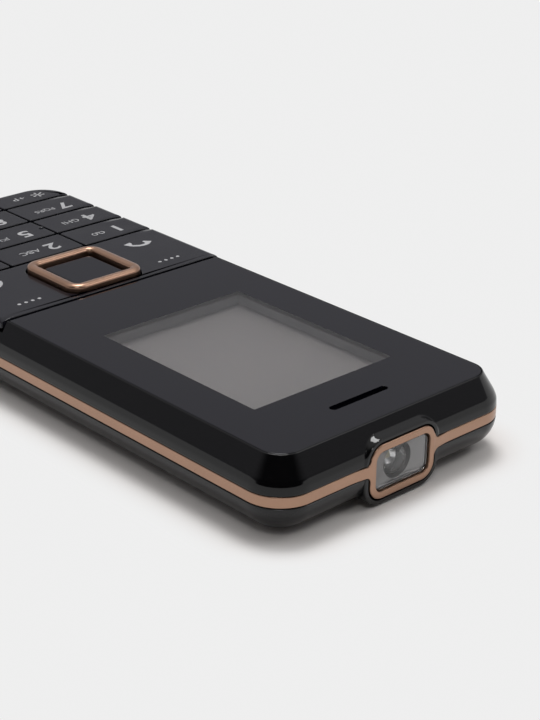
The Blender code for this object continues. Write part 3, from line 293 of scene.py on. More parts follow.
def soft_profile(corners, reach, steps=5):
    """Line through the corners, each inner one rounded by a quadratic curve that begins reach before it."""
    corners = np.asarray(corners, float)
    share = np.linspace(0, 1, steps + 1)[:, None]
    parts = [corners[:1]]
    for before, corner, after in zip(corners[:-2], corners[1:-1], corners[2:]):
        back = before - corner
        ahead = after - corner
        start = corner + back * min(reach / np.linalg.norm(back), 0.48)
        end = corner + ahead * min(reach / np.linalg.norm(ahead), 0.48)
        parts.append((1 - share) ** 2 * start + 2 * share * (1 - share) * corner + share ** 2 * end)
    parts.append(corners[-1:])
    return np.concatenate(parts)


def upright(box, radii, profile, arc=14, runs=no_runs):
    """Grid of a wall: the profile's (inset, height) rows carried round a rounded rectangle in plan."""
    profile = np.asarray(profile, float)
    plan = rounded_ring(box, radii, profile[:, 0], arc, runs)
    height = np.broadcast_to(profile[:, 1, None, None], (*plan.shape[:2], 1))
    return np.concatenate([plan, height], axis=-1)


def lengthwise(box, radii, profile, arc=14):
    """Grid of a wall whose (inset, y) rows are carried round a rounded rectangle seen from the top end."""
    profile = np.asarray(profile, float)
    plan = rounded_ring(box, radii, profile[:, 0], arc)[:, ::-1]
    along = np.broadcast_to(profile[:, 1, None], plan.shape[:2])
    return np.stack([plan[..., 0], along, plan[..., 1]], axis=-1)


def solid(name, points, material):
    """Closed solid from a wall's grid, with both its ends filled."""
    return surface(name, points, (False, True), material, caps=True)


def grown(box, growth):
    """A box of (low, high) pairs moved outwards on every side."""
    return (box[0] - growth, box[1] + growth, box[2] - growth, box[3] + growth)


def square_box(middle, half):
    """The box of half a width and half a height round a middle."""
    return (middle[0] - half[0], middle[0] + half[0], middle[1] - half[1], middle[1] + half[1])


def inner_shares(count):
    """Shares of a straight side at even steps, without its two ends."""
    return np.linspace(0, 1, count)[1:-1]


def carve(piece, tool, joined=False):
    """Cut the piece by a closed tool, or join them, for good; the tool is then removed."""
    step = piece.modifiers.new("carving", "BOOLEAN")
    step.operation = "UNION" if joined else "DIFFERENCE"
    step.solver = "EXACT"
    step.object = tool
    made = bpy.data.meshes.new_from_object(piece.evaluated_get(bpy.context.evaluated_depsgraph_get()))
    piece.modifiers.clear()
    while len(made.materials) > 1:
        made.materials.pop(index=len(made.materials) - 1)
    piece.data = made
    bpy.data.objects.remove(tool, do_unlink=True)


def shade(piece, angle=35.0):
    """Smooth shading that stays sharp over edges above the angle, evened out by face size."""
    piece.data.shade_smooth()
    piece.data.set_sharp_from_angle(angle=math.radians(angle))
    evened = piece.modifiers.new("even_normals", "WEIGHTED_NORMAL")
    evened.keep_sharp = True


def noise(tree, place, scale, detail, distortion=0.0):
    """Cloudy noise of one size."""
    looks = {"Scale": scale, "Detail": detail, "Distortion": distortion}
    return add(tree, "TexNoise", {"Vector": place, **looks})


def bumps(tree, height, strength, depth):
    """Bumps of a depth in millimetres, from a height."""
    return add(tree, "Bump", {"Strength": strength, "Distance": depth * mm, "Height": height})


def shades(colour, factors):
    """A darker and a lighter shade of a colour."""
    return [[part * factor for part in colour] for factor in factors]


def moulded(name, colour, roughness, ior, grain=(9000.0, 0.0015), shade_range=(0.92, 1.08), haze=0.12):
    """Plastic: a cloudy change of shade and of gloss in two sizes, over a fine moulded grain as bump."""
    made, tree, shader, place = node_material(name)
    cloud = noise(tree, place, 90.0, 5.0)
    wipe = noise(tree, place, 220.0, 6.0, 0.6)
    gloss = (roughness * (1 - haze), roughness * (1 + haze))
    feed(tree, shader, {
        "IOR": ior,
        "Base Color": blend(tree, cloud, *shades(colour, shade_range), (0.3, 0.7)),
        "Roughness": spread(tree, wipe, gloss, (0.3, 0.7)),
    })
    if grain[1] > 0:
        feed(tree, shader, {"Normal": bumps(tree, noise(tree, place, grain[0], 3.0), 0.35, grain[1])})
    return made


bezel_box = square_box((0.0, bezel_z), bezel_half)
side_runs = (inner_shares(14), inner_shares(30), inner_shares(14), inner_shares(30))
shell_black = moulded("satin_shell_black", (0.011, 0.011, 0.012), 0.22, 1.38, grain=(6000.0, 0.002))
swing = np.linspace(0, 1, 29) * np.pi / 2
belly = np.stack([belly_inset * (1 - np.sin(swing)), cover_rim * (1 - np.cos(swing))], axis=-1)
belly = np.concatenate([belly[:-1], [[0.0, cover_rim - rim_ease], [rim_ease, cover_rim]]])
rear_shell = solid("rear_shell", upright(body_box, body_corners, belly, 18, side_runs), shell_black)
collar_line = soft_profile([(0, collar_back), (0, hood_front), (0.9, hood_front)], 0.32)
collar_line = np.concatenate([collar_line[:-1], [[0.5, hood_front]]])
collar_points = lengthwise(grown(bezel_box, collar_width), bezel_corner + collar_width, collar_line, 20)
collar = solid("collar", collar_points, shell_black)
carve(collar, solid("above_rim", upright(over_rim, 0.0, rim_room, 1), shell_black))
carve(rear_shell, collar, joined=True)
hollow_inset = cover_wall + (belly_inset - cover_wall) * (1 - np.sin(swing[::2]))
hollow_height = cover_wall + (cover_rim - cover_wall) * (1 - np.cos(swing[::2]))
hollow = np.concatenate([np.stack([hollow_inset, hollow_height], axis=-1), [[cover_wall, hollow_top]]])
carve(rear_shell, solid("hollow", upright(body_box, body_corners, hollow, 12), shell_black))


def bezel_space():
    """The room that the torch bezel takes in both covers, with its gap."""
    box = grown(bezel_box, cover_gap)
    return solid("bezel_space", lengthwise(box, bezel_corner + cover_gap, bezel_room, 20), shell_black)


band_heights = (5.8, 7.6)
band_gap = 0.1
flare_radius = 1.0
flare_end = 8.6
flare_room = (57.5, 64.0)


def flare(x):
    """How much higher the band stands at x than along the body, where it swells into the bezel.

    A concave quarter circle: radius minus the circle's height, from the bezel's side outwards.
    """
    near = np.clip((np.abs(x) - bezel_half[0]) / flare_radius, 0, 1)
    return flare_radius * (1 - np.sqrt(1 - (1 - near) ** 2))


def flare_space():
    """The room of the band's two flares, with the gap line round them."""
    right = np.linspace(bezel_half[0], flare_end, 28)
    x = np.concatenate([-right[::-1], right])
    upper = np.stack([x[::-1], band_heights[1] + band_gap + flare(x[::-1])], axis=-1)
    lower = np.stack([x, band_heights[0] - band_gap - flare(x)], axis=-1)
    plan = np.concatenate([upper, lower])[::-1]
    rows = [np.stack([plan[:, 0], np.full(len(plan), y), plan[:, 1]], axis=-1) for y in flare_room]
    return solid("flare_space", np.stack(rows), shell_black)


def port_spaces(usb_rise, jack_rise):
    """The rooms of the data and headphone sockets in the tail end, open upwards as far as their rise."""
    usb_space = (usb_box[0] - cover_gap, usb_box[1] + cover_gap, usb_box[2] - cover_gap, usb_rise)
    span = jack_radius + cover_gap
    jack_space = (jack_axis[0] - span, jack_axis[0] + span, jack_axis[1] - span, jack_rise)
    top_radius = 0.0 if jack_rise > jack_axis[1] + span else span
    radii = (top_radius, top_radius, span, span)
    return (solid("usb_space", lengthwise(usb_space, usb_corner, port_room, 6), shell_black),
            solid("jack_space", lengthwise(jack_space, radii, port_room, 20), shell_black))


for space in (bezel_space(), flare_space(), *port_spaces(port_rise, port_rise)):
    carve(rear_shell, space)
slot_line = soft_profile([(-0.35, -1.0), (-0.12, 0.0), (0, 0.12), (0, 2.5)], 0.1, 3)
for slot in range(grille_count):
    y = grille_middle[1] + (slot - grille_count // 2) * grille_pitch
    slot_points = upright(square_box((grille_middle[0], y), grille_half), grille_half[1], slot_line, 8)
    carve(rear_shell, solid("slot", slot_points, shell_black))
hole_room = square_box(camera_axis, (camera_hole, camera_hole))
hole_line = soft_profile([(-0.5, -1.0), (-0.3, 0.0), (0, 0.3), (0, 2.5)], 0.2, 4)
carve(rear_shell, solid("hole", upright(hole_room, camera_hole, hole_line, 20), shell_black))
shade(rear_shell)
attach(rear_shell, "rear_cover")
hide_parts("rear_cover")

# What the rear cover uncovers: battery, frame, board and small parts, each from its own trade, such as
# pressed and stamped steel, moulded nylon, soft silicone and a printed board, all screwed to the front.
cell_cap_start = 27.0
gauze_pitch = 0.24


def dress(material, *names):
    """Give CAD pieces a finish."""
    for name in names:
        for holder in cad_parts[name].material_slots:
            holder.material = material


def brushed(name, colour, roughness, stretch=(40.0, 1600.0, 1600.0)):
    """Metal with drawn lines: noise stretched along one way changes the shade, the gloss and the bump."""
    made, tree, shader, place = node_material(name)
    lines = noise(tree, add(tree, "Mapping", {"Vector": place, "Scale": stretch}), 3.0, 4.0)
    feed(tree, shader, {
        "Metallic": 1.0,
        "Base Color": blend(tree, lines, *shades(colour, (0.9, 1.06)), (0.35, 0.65)),
        "Roughness": spread(tree, lines, (roughness * 0.75, roughness * 1.25)),
        "Normal": bumps(tree, lines, 0.4, 0.0006),
    })
    return made


def either(tree, share, low, high):
    """Mix of two colours by a share."""
    return add(tree, "Mix", {0: share, 6: low, 7: high}, 2, data_type="RGBA")


def printed_board(name):
    """Circuit board: green mask over stepped copper tracks, with gilt pads in a pattern's cells."""
    made, tree, shader, place = node_material(name)
    tracks = add(tree, "TexVoronoi", {"Vector": place, "Scale": 420.0}, feature="DISTANCE_TO_EDGE")
    cells = {"Vector": place, "Scale": 560.0, "Randomness": 0.35}
    pads = add(tree, "TexVoronoi", cells, distance="CHEBYCHEV")
    edge = add(tree, "Math", {0: tracks, 1: 0.05}, operation="LESS_THAN")
    dot = add(tree, "Math", {0: pads, 1: 0.16}, operation="LESS_THAN")
    mask = either(tree, edge, (0.008, 0.05, 0.028, 1.0), (0.02, 0.11, 0.06, 1.0))
    gilt = either(tree, dot, mask, (0.62, 0.45, 0.16, 1.0))
    feed(tree, shader, {"Base Color": gilt, "Metallic": dot, "Roughness": 0.38})
    return made


def wrapped_cell(name):
    """Battery sleeve: matt grey film with a darker end cap and faint creases."""
    made, tree, shader, place = node_material(name)
    along = add(tree, "SeparateXYZ", {0: place}, "Y")
    cap = add(tree, "Math", {0: along, 1: cell_cap_start * mm}, operation="GREATER_THAN")
    crease = noise(tree, place, 160.0, 4.0)
    film = blend(tree, crease, (0.21, 0.22, 0.235), (0.29, 0.3, 0.315))
    feed(tree, shader, {
        "Base Color": either(tree, cap, film, (0.03, 0.03, 0.032, 1.0)), "Roughness": 0.42,
        "Normal": bumps(tree, crease, 0.2, 0.02),
    })
    return made


def woven_mesh(name, colour, pitch):
    """Fine metal gauze: two sine waves crossed at a right angle make wires and dark openings between them."""
    made, tree, shader, place = node_material(name)
    waves = []
    for way in ("X", "Y"):
        across = add(tree, "SeparateXYZ", {0: place}, way)
        angle = add(tree, "Math", {0: across, 1: 2 * math.pi / (pitch * mm)}, operation="MULTIPLY")
        waves.append(add(tree, "Math", {0: angle}, operation="SINE"))
    high = add(tree, "Math", {0: waves[0], 1: waves[1]}, operation="MAXIMUM")
    wire = spread(tree, high, (0.0, 1.0), (0.1, 0.7))
    feed(tree, shader, {
        "Base Color": either(tree, wire, (0.002, 0.002, 0.002, 1.0), (*colour, 1.0)),
        "Metallic": 0.8, "Roughness": 0.45, "Normal": bumps(tree, high, 1.0, 0.02),
    })
    return made


nylon = moulded("frame_nylon", (0.028, 0.028, 0.03), 0.55, 1.45, grain=(5000.0, 0.006))
stamped_steel = brushed("stamped_steel", (0.56, 0.56, 0.57), 0.34)
bright_steel = brushed("bright_steel", (0.66, 0.66, 0.67), 0.24, stretch=(900.0, 900.0, 60.0))
silicone_grey = moulded("silicone_grey", (0.1, 0.1, 0.105), 0.62, 1.42, grain=(2500.0, 0.004))
light_sheet = moulded("light_sheet", (0.78, 0.79, 0.8), 0.4, 1.5, grain=(3000.0, 0.003))
copper_sheet = brushed("copper_sheet", (0.72, 0.36, 0.2), 0.3, stretch=(1600.0, 60.0, 1600.0))
lens_ink = moulded("camera_glass_black", (0.006, 0.006, 0.009), 0.05, 1.5, grain=(4000.0, 0.0))
dress(nylon, "rear_chassis", "battery_contacts", "earpiece_speaker", "loudspeaker", "camera_module",
      "audio_jack")
dress(stamped_steel, "display_frame", "keypad_frame", "dome_sheet", "baseband_shield", "radio_shield",
      "sim_holder_1", "sim_holder_2", "memory_card_holder", "usb_socket")
dress(bright_steel, "vibration_motor", "vibration_weight", "microphone", "screw_tail_left",
      "screw_tail_right", "screw_middle_left", "screw_middle_right", "screw_top_left", "screw_top_right")
dress(silicone_grey, "keypad_mat", "function_pad", "nav_pad")
dress(light_sheet, "display_backlight")
dress(copper_sheet, "antenna")
dress(printed_board("printed_board"), "main_pcb")
dress(wrapped_cell("cell_sleeve"), "battery")
dress(woven_mesh("earpiece_gauze", (0.05, 0.05, 0.052), gauze_pitch), "earpiece_mesh")
dress(lens_ink, "camera_window")

# Band: one strip of die-cast metal all round the phone, plated rose gold and bead blasted, in one piece
# with the bezel of the torch, into which it swells on both sides with a small concave fillet.
band_wall = 1.1
band_edge = 0.5
ramp_end = 10.6
ramp_start = bezel_half[0] + 0.2
bezel_proud = bezel_face - body_box[3]
bezel_sink = 0.025
flare_start = bezel_half[0] - 0.6
frame_back = 58.825
hole_back = 56.0
hole_half = (5.85, 3.35)
hole_corner = 1.5
band_port_rise = (6.3, 6.5)


def plated(name, colour, roughness):
    """Bead-blasted plating: fine speckle as bump, with faint clouds in shade and gloss."""
    made, tree, shader, place = node_material(name)
    cloud = noise(tree, place, 120.0, 5.0)
    feed(tree, shader, {
        "Metallic": 0.95,
        "Base Color": blend(tree, cloud, *shades(colour, (0.93, 1.05)), (0.3, 0.7)),
        "Roughness": spread(tree, cloud, (roughness * 0.9, roughness * 1.12), (0.3, 0.7)),
        "Normal": bumps(tree, noise(tree, place, 7000.0, 2.0), 0.3, 0.003),
    })
    return made


rose_gold = plated("rose_gold_plating", (0.39, 0.237, 0.165), 0.3)
band_runs = (inner_shares(250), side_runs[1], side_runs[2], side_runs[3])
band_low, band_high = band_heights
band_line = [(band_edge, band_low), (0, band_low), (0, band_high), (band_edge, band_high)]
band_line = soft_profile(band_line, 0.16, 4)
band_line = np.concatenate([band_line[:-1],
                            [[band_edge, band_high], [band_wall, band_high], [band_wall, band_low]]])
band_points = upright(body_box, body_corners, band_line, 18, band_runs)
band_x = band_points[..., 0]
at_top = band_points[..., 1] > body_box[3] - body_corners[0]
outward = 1 - np.clip(band_line[:, 0] / band_wall, 0, 1)[:, None]
ramp = np.clip((ramp_end - np.abs(band_x)) / (ramp_end - ramp_start), 0, 1)
ramp = ramp * ramp * (3 - 2 * ramp)
band_points[..., 1] += np.where(at_top, (bezel_proud - bezel_sink) * ramp * outward, 0)
above = np.where(band_points[..., 2] > sum(band_heights) / 2 + 0.01, 1, -1)
swell = np.where(np.abs(band_x) > flare_start, flare(band_x), 0)
band_points[..., 2] += np.where(at_top, above * swell, 0)
metal_band = surface("metal_band", band_points, (True, True), rose_gold)
frame_line = soft_profile([(0, frame_back), (0, bezel_face), (0.9, bezel_face)], 0.28, 5)
frame_line = np.concatenate([frame_line[:-1], [[0.6, bezel_face]]])
frame_points = lengthwise(bezel_box, bezel_corner, frame_line, 20)
carve(metal_band, solid("bezel_solid", frame_points, rose_gold), joined=True)
hole_line = soft_profile([(0, hole_back), (0, bezel_face - 0.02), (-0.6, bezel_face + 0.5)], 0.3, 5)
hole_points = lengthwise(square_box((0.0, bezel_z), hole_half), hole_corner, hole_line, 16)
carve(metal_band, solid("bezel_hole", hole_points, rose_gold))
for space in port_spaces(*band_port_rise):
    carve(metal_band, space)
shade(metal_band, 32.0)
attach(metal_band, "phone")
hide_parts("mid_band")

# Torch: a silvered plastic reflector whose oblong mouth narrows to a round cup, a lamp of clear resin
# with its chip on a steel post, and a clear pane set back in the bezel.
pane_half = (5.6, 3.1)
pane_corner = 1.2
pane_places = (60.85, 61.35)
cup_places = (56.27, 60.75)
cup_radius = (2.8, 2.98)
cup_depth = 3.2
mirror_wall = 0.22
mouth_depth = 0.1
mouth_flare = 0.6
dish_depth = 0.5


def silvered(name):
    """Vacuum-metallised plastic: bright, with faint ripples from the mould."""
    made, tree, shader, place = node_material(name)
    ripple = noise(tree, place, 260.0, 3.0)
    feed(tree, shader, {
        "Metallic": 1.0,
        "Base Color": blend(tree, ripple, (0.16, 0.155, 0.155), (0.21, 0.204, 0.203)),
        "Roughness": spread(tree, ripple, (0.26, 0.38)),
        "Normal": bumps(tree, ripple, 0.25, 0.02),
    })
    return made


def clear(name, tint, ior, roughness):
    """Clear resin or pane: lets light through as it is seen, and lets lamps' light straight through."""
    made, tree, shader, place = node_material(name)
    smear = spread(tree, noise(tree, place, 300.0, 4.0), (roughness, roughness * 2.5), (0.3, 0.75))
    colour = (*tint, 1.0)
    feed(tree, shader, {"Base Color": colour, "Transmission Weight": 1.0, "IOR": ior, "Roughness": smear})
    through = add(tree, "BsdfTransparent", {"Color": colour})
    mix_in(tree, add(tree, "LightPath", {}, "Is Shadow Ray"), shader, through)
    return made


def turned_round(profile, steps=48):
    """Grid of a shape turned about the torch's axis: the profile's (radius, y) points at equal angles."""
    profile = np.asarray(profile, float)
    angle = -np.linspace(0, 2 * np.pi, steps + 1)[:-1]
    x = profile[:, :1] * np.cos(angle)
    z = bezel_z + profile[:, :1] * np.sin(angle)
    return np.stack([x, np.broadcast_to(profile[:, 1:2], x.shape), z], axis=-1)


def oblong_to_round(rows, arc=14):
    """Grid that goes from the pane's oblong outline to a circle: rows of (inset, y, circle's share, radius).

    Each point is the oblong's own point mixed, by the share, with the circle's point at the same angle.
    """
    rows = np.asarray(rows, float)
    oblong = rounded_ring(pane_box, pane_corner, rows[:, 0], arc, (inner_shares(10),) * 4)[:, ::-1]
    angle = np.arctan2(oblong[..., 1] - bezel_z, oblong[..., 0])
    circle = np.stack([np.cos(angle), np.sin(angle)], axis=-1) * rows[:, 3, None, None]
    circle[..., 1] += bezel_z
    share = rows[:, 2, None, None]
    plan = oblong * (1 - share) + circle * share
    along = np.broadcast_to(rows[:, 1, None], plan.shape[:2])
    return np.stack([plan[..., 0], along, plan[..., 1]], axis=-1)


pane_box = square_box((0.0, bezel_z), pane_half)
sweep = np.linspace(0, 1, 13)[1:]
dish_start = cup_places[1] - mouth_depth
dish = np.stack([mirror_wall + 0 * sweep, dish_start - dish_depth * sweep, sweep ** 1.3,
                 cup_radius[1] + mouth_flare * (1 - sweep)], axis=-1)
cup = np.stack([mirror_wall + 0 * sweep, dish_start - dish_depth - cup_depth * sweep, 1 + 0 * sweep,
                cup_radius[1] + (cup_radius[0] - cup_radius[1]) * sweep], axis=-1)
mirror_back = [(0, cup_places[0], 0, 3.0), (0, dish_start, 0, 3.0), (0.1, cup_places[1], 0, 3.0),
               (0.2, cup_places[1] - 0.03, 0, 3.0)]
mirror_points = oblong_to_round(np.concatenate([mirror_back, dish, cup]))
torch_mirror = surface("torch_mirror", mirror_points, (True, True), silvered("silvered_plastic"))
shade(torch_mirror, 50.0)
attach(torch_mirror, "phone")
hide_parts("torch_reflector")

# The torch's lamp: clear resin with a round collar at its back and a dome in front.
lamp_back = 55.22
lamp_tip = 60.8
lamp_radius = 2.72
collar_radius = 2.75
collar_ease = 0.1
dome_start = 58.9
arch = (np.linspace(0, 1, 19) * np.pi / 2)[:-1]
lamp_line = [(least_radius, lamp_back), (collar_radius - collar_ease, lamp_back),
             (collar_radius, lamp_back + collar_ease), (collar_radius, lamp_back + 0.7),
             (collar_radius - collar_ease, lamp_back + 0.8), (lamp_radius + 0.05, lamp_back + 0.85)]
dome = np.stack([lamp_radius * np.cos(arch), dome_start + (lamp_tip - dome_start) * np.sin(arch)], axis=-1)
torch_bulb = solid("torch_bulb", turned_round(np.concatenate([lamp_line, dome])),
                   clear("clear_resin", (0.97, 0.97, 0.96), 1.5, 0.01))
shade(torch_bulb, 40.0)
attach(torch_bulb, "phone")
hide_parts("torch_led")

# Inside the resin: the cup-topped steel post that carries the chip, and the thinner post of its wire.
post_back = 55.3
post_face = 58.0
post_floor = 57.7
chip_half = 0.38
wire_box = (1.45, 1.95, bezel_z - 0.25, bezel_z + 0.25)
post_line = [(least_radius, post_back), (0.55, post_back), (0.55, 57.2), (1.15, post_floor), (1.15, 57.95),
             (1.0, post_face), (0.6, post_floor), (least_radius, post_floor)]
torch_post = solid("torch_post", turned_round(post_line, 32), bright_steel)
wire_line = [(0, post_back), (0, 57.8), (0.12, 57.95)]
wire_post = solid("wire_post", lengthwise(wire_box, 0.08, wire_line, 4), bright_steel)
phosphor = moulded("chip_phosphor", (0.6, 0.56, 0.42), 0.5, 1.5, grain=(9000.0, 0.003))
chip_box = square_box((0.0, bezel_z), (chip_half, chip_half))
chip_line = soft_profile([(0, post_floor + 0.02), (0, post_face), (0.3, post_face)], 0.08)
torch_chip = solid("torch_chip", lengthwise(chip_box, 0.15, chip_line, 5), phosphor)
for piece in (torch_post, wire_post, torch_chip):
    shade(piece)
    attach(piece, "phone")

pane_low, pane_high = pane_places
pane_line = soft_profile([(0.5, pane_low), (0, pane_low), (0, pane_high), (0.5, pane_high)], 0.08, 3)
torch_pane = solid("torch_pane", lengthwise(pane_box, pane_corner, pane_line, 12),
                   clear("clear_pane", (0.98, 0.98, 0.98), 1.3, 0.005))
shade(torch_pane)
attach(torch_pane, "phone")
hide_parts("torch_lens")

# Front housing: glossy black plastic, moulded with a soft crease along its flanks, a recess for the lens
# plate, a hood that follows the torch bezel, and a low ledge round the keypad.
crease_point = (2.0, 12.28)
lens_level = 13.17
rim_ledge = 3.2
hood_width = 1.15
hood_fade = 0.35
hood_depth = 6.0
hood_half = 11.5
seam_y = -7.425
ledge_height = 11.35
ledge_box = (-27.0, 27.0, -64.0, seam_y)
well_box = (-23.1, 23.1, -59.625, seam_y)
well_heights = (8.0, 12.0)
recess_box = (-23.03, 23.03, -9.4, 58.71)
recess_floor = 11.95
cut_top = 15.0
window_box = (-14.85, 14.85, 7.875, 44.575)
view_margin = 1.1
slot_box = (-6.1, 6.1, 51.225, 52.625)
slot_corner = 0.69
inner_low = 9.0
recess_past = 12.1
microphone_box = (-17.0, -16.0, 8.1, 9.1)
microphone_room = [(0, -64.0), (0, -58.0)]
lip_height = 13.2


def refined(profile, spacing):
    """The same line with points added, so that none are further apart than the spacing."""
    lengths = np.linalg.norm(np.diff(profile, axis=0), axis=1)
    counts = np.maximum(np.ceil(lengths / spacing).astype(int), 1)
    first = np.repeat(np.arange(len(counts)), counts)
    rank = np.arange(counts.sum()) - np.repeat(np.cumsum(counts) - counts, counts)
    share = (rank / counts[first])[:, None]
    return np.concatenate([profile[first] * (1 - share) + profile[first + 1] * share, profile[-1:]])


def distance_outside(u, v, box, corner):
    """How far a point lies outside a rounded rectangle, or less than zero inside it."""
    across = np.abs(u - (box[0] + box[1]) / 2) - (box[1] - box[0]) / 2 + corner
    along = np.abs(v - (box[2] + box[3]) / 2) - (box[3] - box[2]) / 2 + corner
    outside = np.hypot(np.maximum(across, 0), np.maximum(along, 0))
    return outside + np.minimum(np.maximum(across, along), 0) - corner


def cut_box(name, box, radii, low, high, ease=0.0):
    """An upright solid to cut with; ease widens its upper end into a small rounded lip."""
    line = [(0, low), (0, high)]
    if ease:
        lip = soft_profile([(0, low), (0, lip_height), (-ease, lip_height)], ease, 4)
        line = np.concatenate([lip, [[-ease, high]]])
    return solid(name, upright(box, radii, line, 12), gloss_black)


gloss_black = moulded("gloss_black", (0.0019, 0.0018, 0.0022), 0.05, 1.4, grain=(900.0, 0.0004), haze=0.3)
flank = soft_profile([(0.08, 7.68), (0, 7.8), (0.1, 8.9), (0.5, 9.8), crease_point], 0.3, 6)
rim = soft_profile([crease_point, (2.54, lens_level), (rim_ledge, lens_level)], 0.09, 3)
flank = refined(np.concatenate([flank, rim[1:]]), 0.09)
front_points = upright(body_box, body_corners, flank, 18, band_runs)
near = distance_outside(front_points[..., 0], front_points[..., 2], bezel_box, bezel_corner)
hood = np.clip((hood_width - near) / hood_fade, 0, 1)
hood = hood * hood * (3 - 2 * hood)
on_top_end = (front_points[..., 1] > body_box[3] - hood_depth) & (np.abs(front_points[..., 0]) < hood_half)
front_points[..., 1] += np.where(on_top_end, (hood_front - front_points[..., 1]) * hood, 0)
front_housing = solid("front_housing", front_points, gloss_black)
cavity = [(1.6, 5.0), (1.6, 9.0), (2.62, 11.0)]
for space in (
    solid("cavity", upright(body_box, body_corners, cavity, 12), gloss_black),
    bezel_space(),
    flare_space(),
    cut_box("keypad_step", ledge_box, 0.0, ledge_height, cut_top),
    cut_box("keypad_well", well_box, (0, 0, 5.5, 5.5), *well_heights),
    cut_box("lens_recess", recess_box, (3.7, 3.7, 0, 0), recess_floor, cut_top),
    cut_box("view", grown(window_box, view_margin), 0.2, inner_low, recess_past),
    cut_box("slot", slot_box, slot_corner, inner_low, recess_past),
    solid("port", lengthwise(microphone_box, 0.5, microphone_room, 8), gloss_black),
):
    carve(front_housing, space)
shade(front_housing, 34.0)
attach(front_housing, "phone")
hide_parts("front_cover")

# Screen: a clear plate printed black from behind round its window, glued into the recess; under it a
# strip of grey foam round the window and the panel of the display, which is switched off.
lens_box = (-22.9, 22.9, -7.275, 58.575)
lens_corners = (3.6, 3.6, 0.35, 0.35)
lens_low, lens_high = (12.2, 13.2)
lens_round = 0.14
lens_cut = (11.0, 14.0)
window_corner = 0.25
insert_gap = 0.01
foam_low, foam_high = (10.1, 12.18)
foam_width = 0.7


def panel_glass(name):
    """Unlit display: warm grey with a fine dot pattern and the slow clouds of its polariser."""
    made, tree, shader, place = node_material(name)
    cloud = noise(tree, place, 30.0, 2.0)
    tint = blend(tree, cloud, (0.107, 0.1, 0.097), (0.127, 0.118, 0.114), (0.25, 0.75))
    dots = add(tree, "TexVoronoi", {"Vector": place, "Scale": 3600.0, "Randomness": 0.0})
    dot = spread(tree, dots, (1.02, 0.96), (0.0, 0.6))
    shaded = add(tree, "VectorMath", {0: tint, "Scale": dot}, operation="SCALE")
    feed(tree, shader, {"Base Color": shaded, "Roughness": 0.35, "IOR": 1.3})
    return made


dress(panel_glass("panel_glass"), "display_glass")
lens_black = moulded("lens_print_black", (0.0022, 0.0021, 0.006), 0.03, 1.4, grain=(400.0, 0.0002), haze=0.4)
foam_grey = moulded("foam_grey", (0.085, 0.082, 0.08), 0.7, 1.4, grain=(3500.0, 0.01))
lens_line = soft_profile([(0.6, lens_low), (0, lens_low), (0, lens_high), (0.6, lens_high)], lens_round, 4)
lens_plate = solid("lens_plate", upright(lens_box, lens_corners, lens_line, 20), lens_black)
carve(lens_plate, cut_box("window", window_box, window_corner, *lens_cut))
carve(lens_plate, cut_box("slot", slot_box, slot_corner, *lens_cut, ease=0.12))
shade(lens_plate)
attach(lens_plate, "phone")
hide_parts("display_lens")

insert_line = [(0, lens_low + insert_gap), (0, lens_high - 0.001)]
insert_points = upright(grown(window_box, -insert_gap), window_corner, insert_line, 6)
lens_window = solid("lens_window", insert_points, clear("clear_window", (0.93, 0.93, 0.93), 1.4, 0.008))
lens_window.data.materials.append(foam_grey)
wall_faces = np.zeros(len(lens_window.data.polygons), np.int32)
wall_faces[:-2] = 1
lens_window.data.polygons.foreach_set("material_index", wall_faces)
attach(lens_window, "phone")
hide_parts("display_lens")

foam_line = soft_profile([(0.1, foam_low), (0, foam_low), (0, foam_high), (0.3, foam_high)], 0.1, 3)
foam_line = np.concatenate([foam_line, [[0.62, foam_high], [foam_width, 12.1], [foam_width, 10.18],
                                        [0.62, foam_low]]])
foam_points = upright(grown(window_box, foam_width + 0.02), 0.6, foam_line, 6)
window_gasket = surface("window_gasket", foam_points, (True, True), foam_grey)
shade(window_gasket)
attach(window_gasket, "phone")
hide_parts("display_gasket")

# Number keys: twelve caps of black plastic, moulded as one rolled surface and parted by narrow gaps,
# each with its plunger over a metal dome; the outer caps turn down over the phone's edge.
row_line = -27.125
row_pitch = 8.7
row_gap = 0.8
column_line = 8.25
column_gap = 0.45
cap_corner = 0.35
key_skirt = 11.9
key_plane = 13.3
roll_low = 12.3
roll_inset = 1.65
roll_width = 1.15
key_ease = 0.16
plunger_low = 9.4
plunger_high = 12.1
plunger_radius = 1.2
plunger_pitch = 15.575
plunger_y = (-31.475, -40.175, -48.875, -56.525)
nub_middle = (-7.575, -40.175)
nub_radius = 0.45
nub_levels = (13.1, 13.33)
nub_rise = 0.22
key_box = (body_box[0] + roll_inset, body_box[1] - roll_inset, body_box[2] + roll_inset, 0.0)
key_corner = body_corners[2] - roll_inset
cap_steps = np.array([0, 0.006, 0.02, 0.045, 0.08, 0.12, 0.16,
                      0.22, 0.3, 0.4, 0.52, 0.66, 0.82, 1.0, 1.2, 1.6])


def keypad_height(x, y, own):
    """Height of the keypad's skin: a quarter ellipse over the roll at the body's edge, flat further in.

    own is the distance in from the cap's own edge, where a quarter circle eases the edge.
    """
    inset = -distance_outside(x, y, body_box, body_corners[2])
    share = np.clip((inset - roll_inset) / roll_width, 0, 1)
    rolled = roll_low + (key_plane - roll_low) * np.sqrt(1 - (1 - share) ** 2)
    eased = np.clip(1 - own / key_ease, 0, 1)
    return rolled - key_ease * (1 - np.sqrt(1 - eased ** 2))


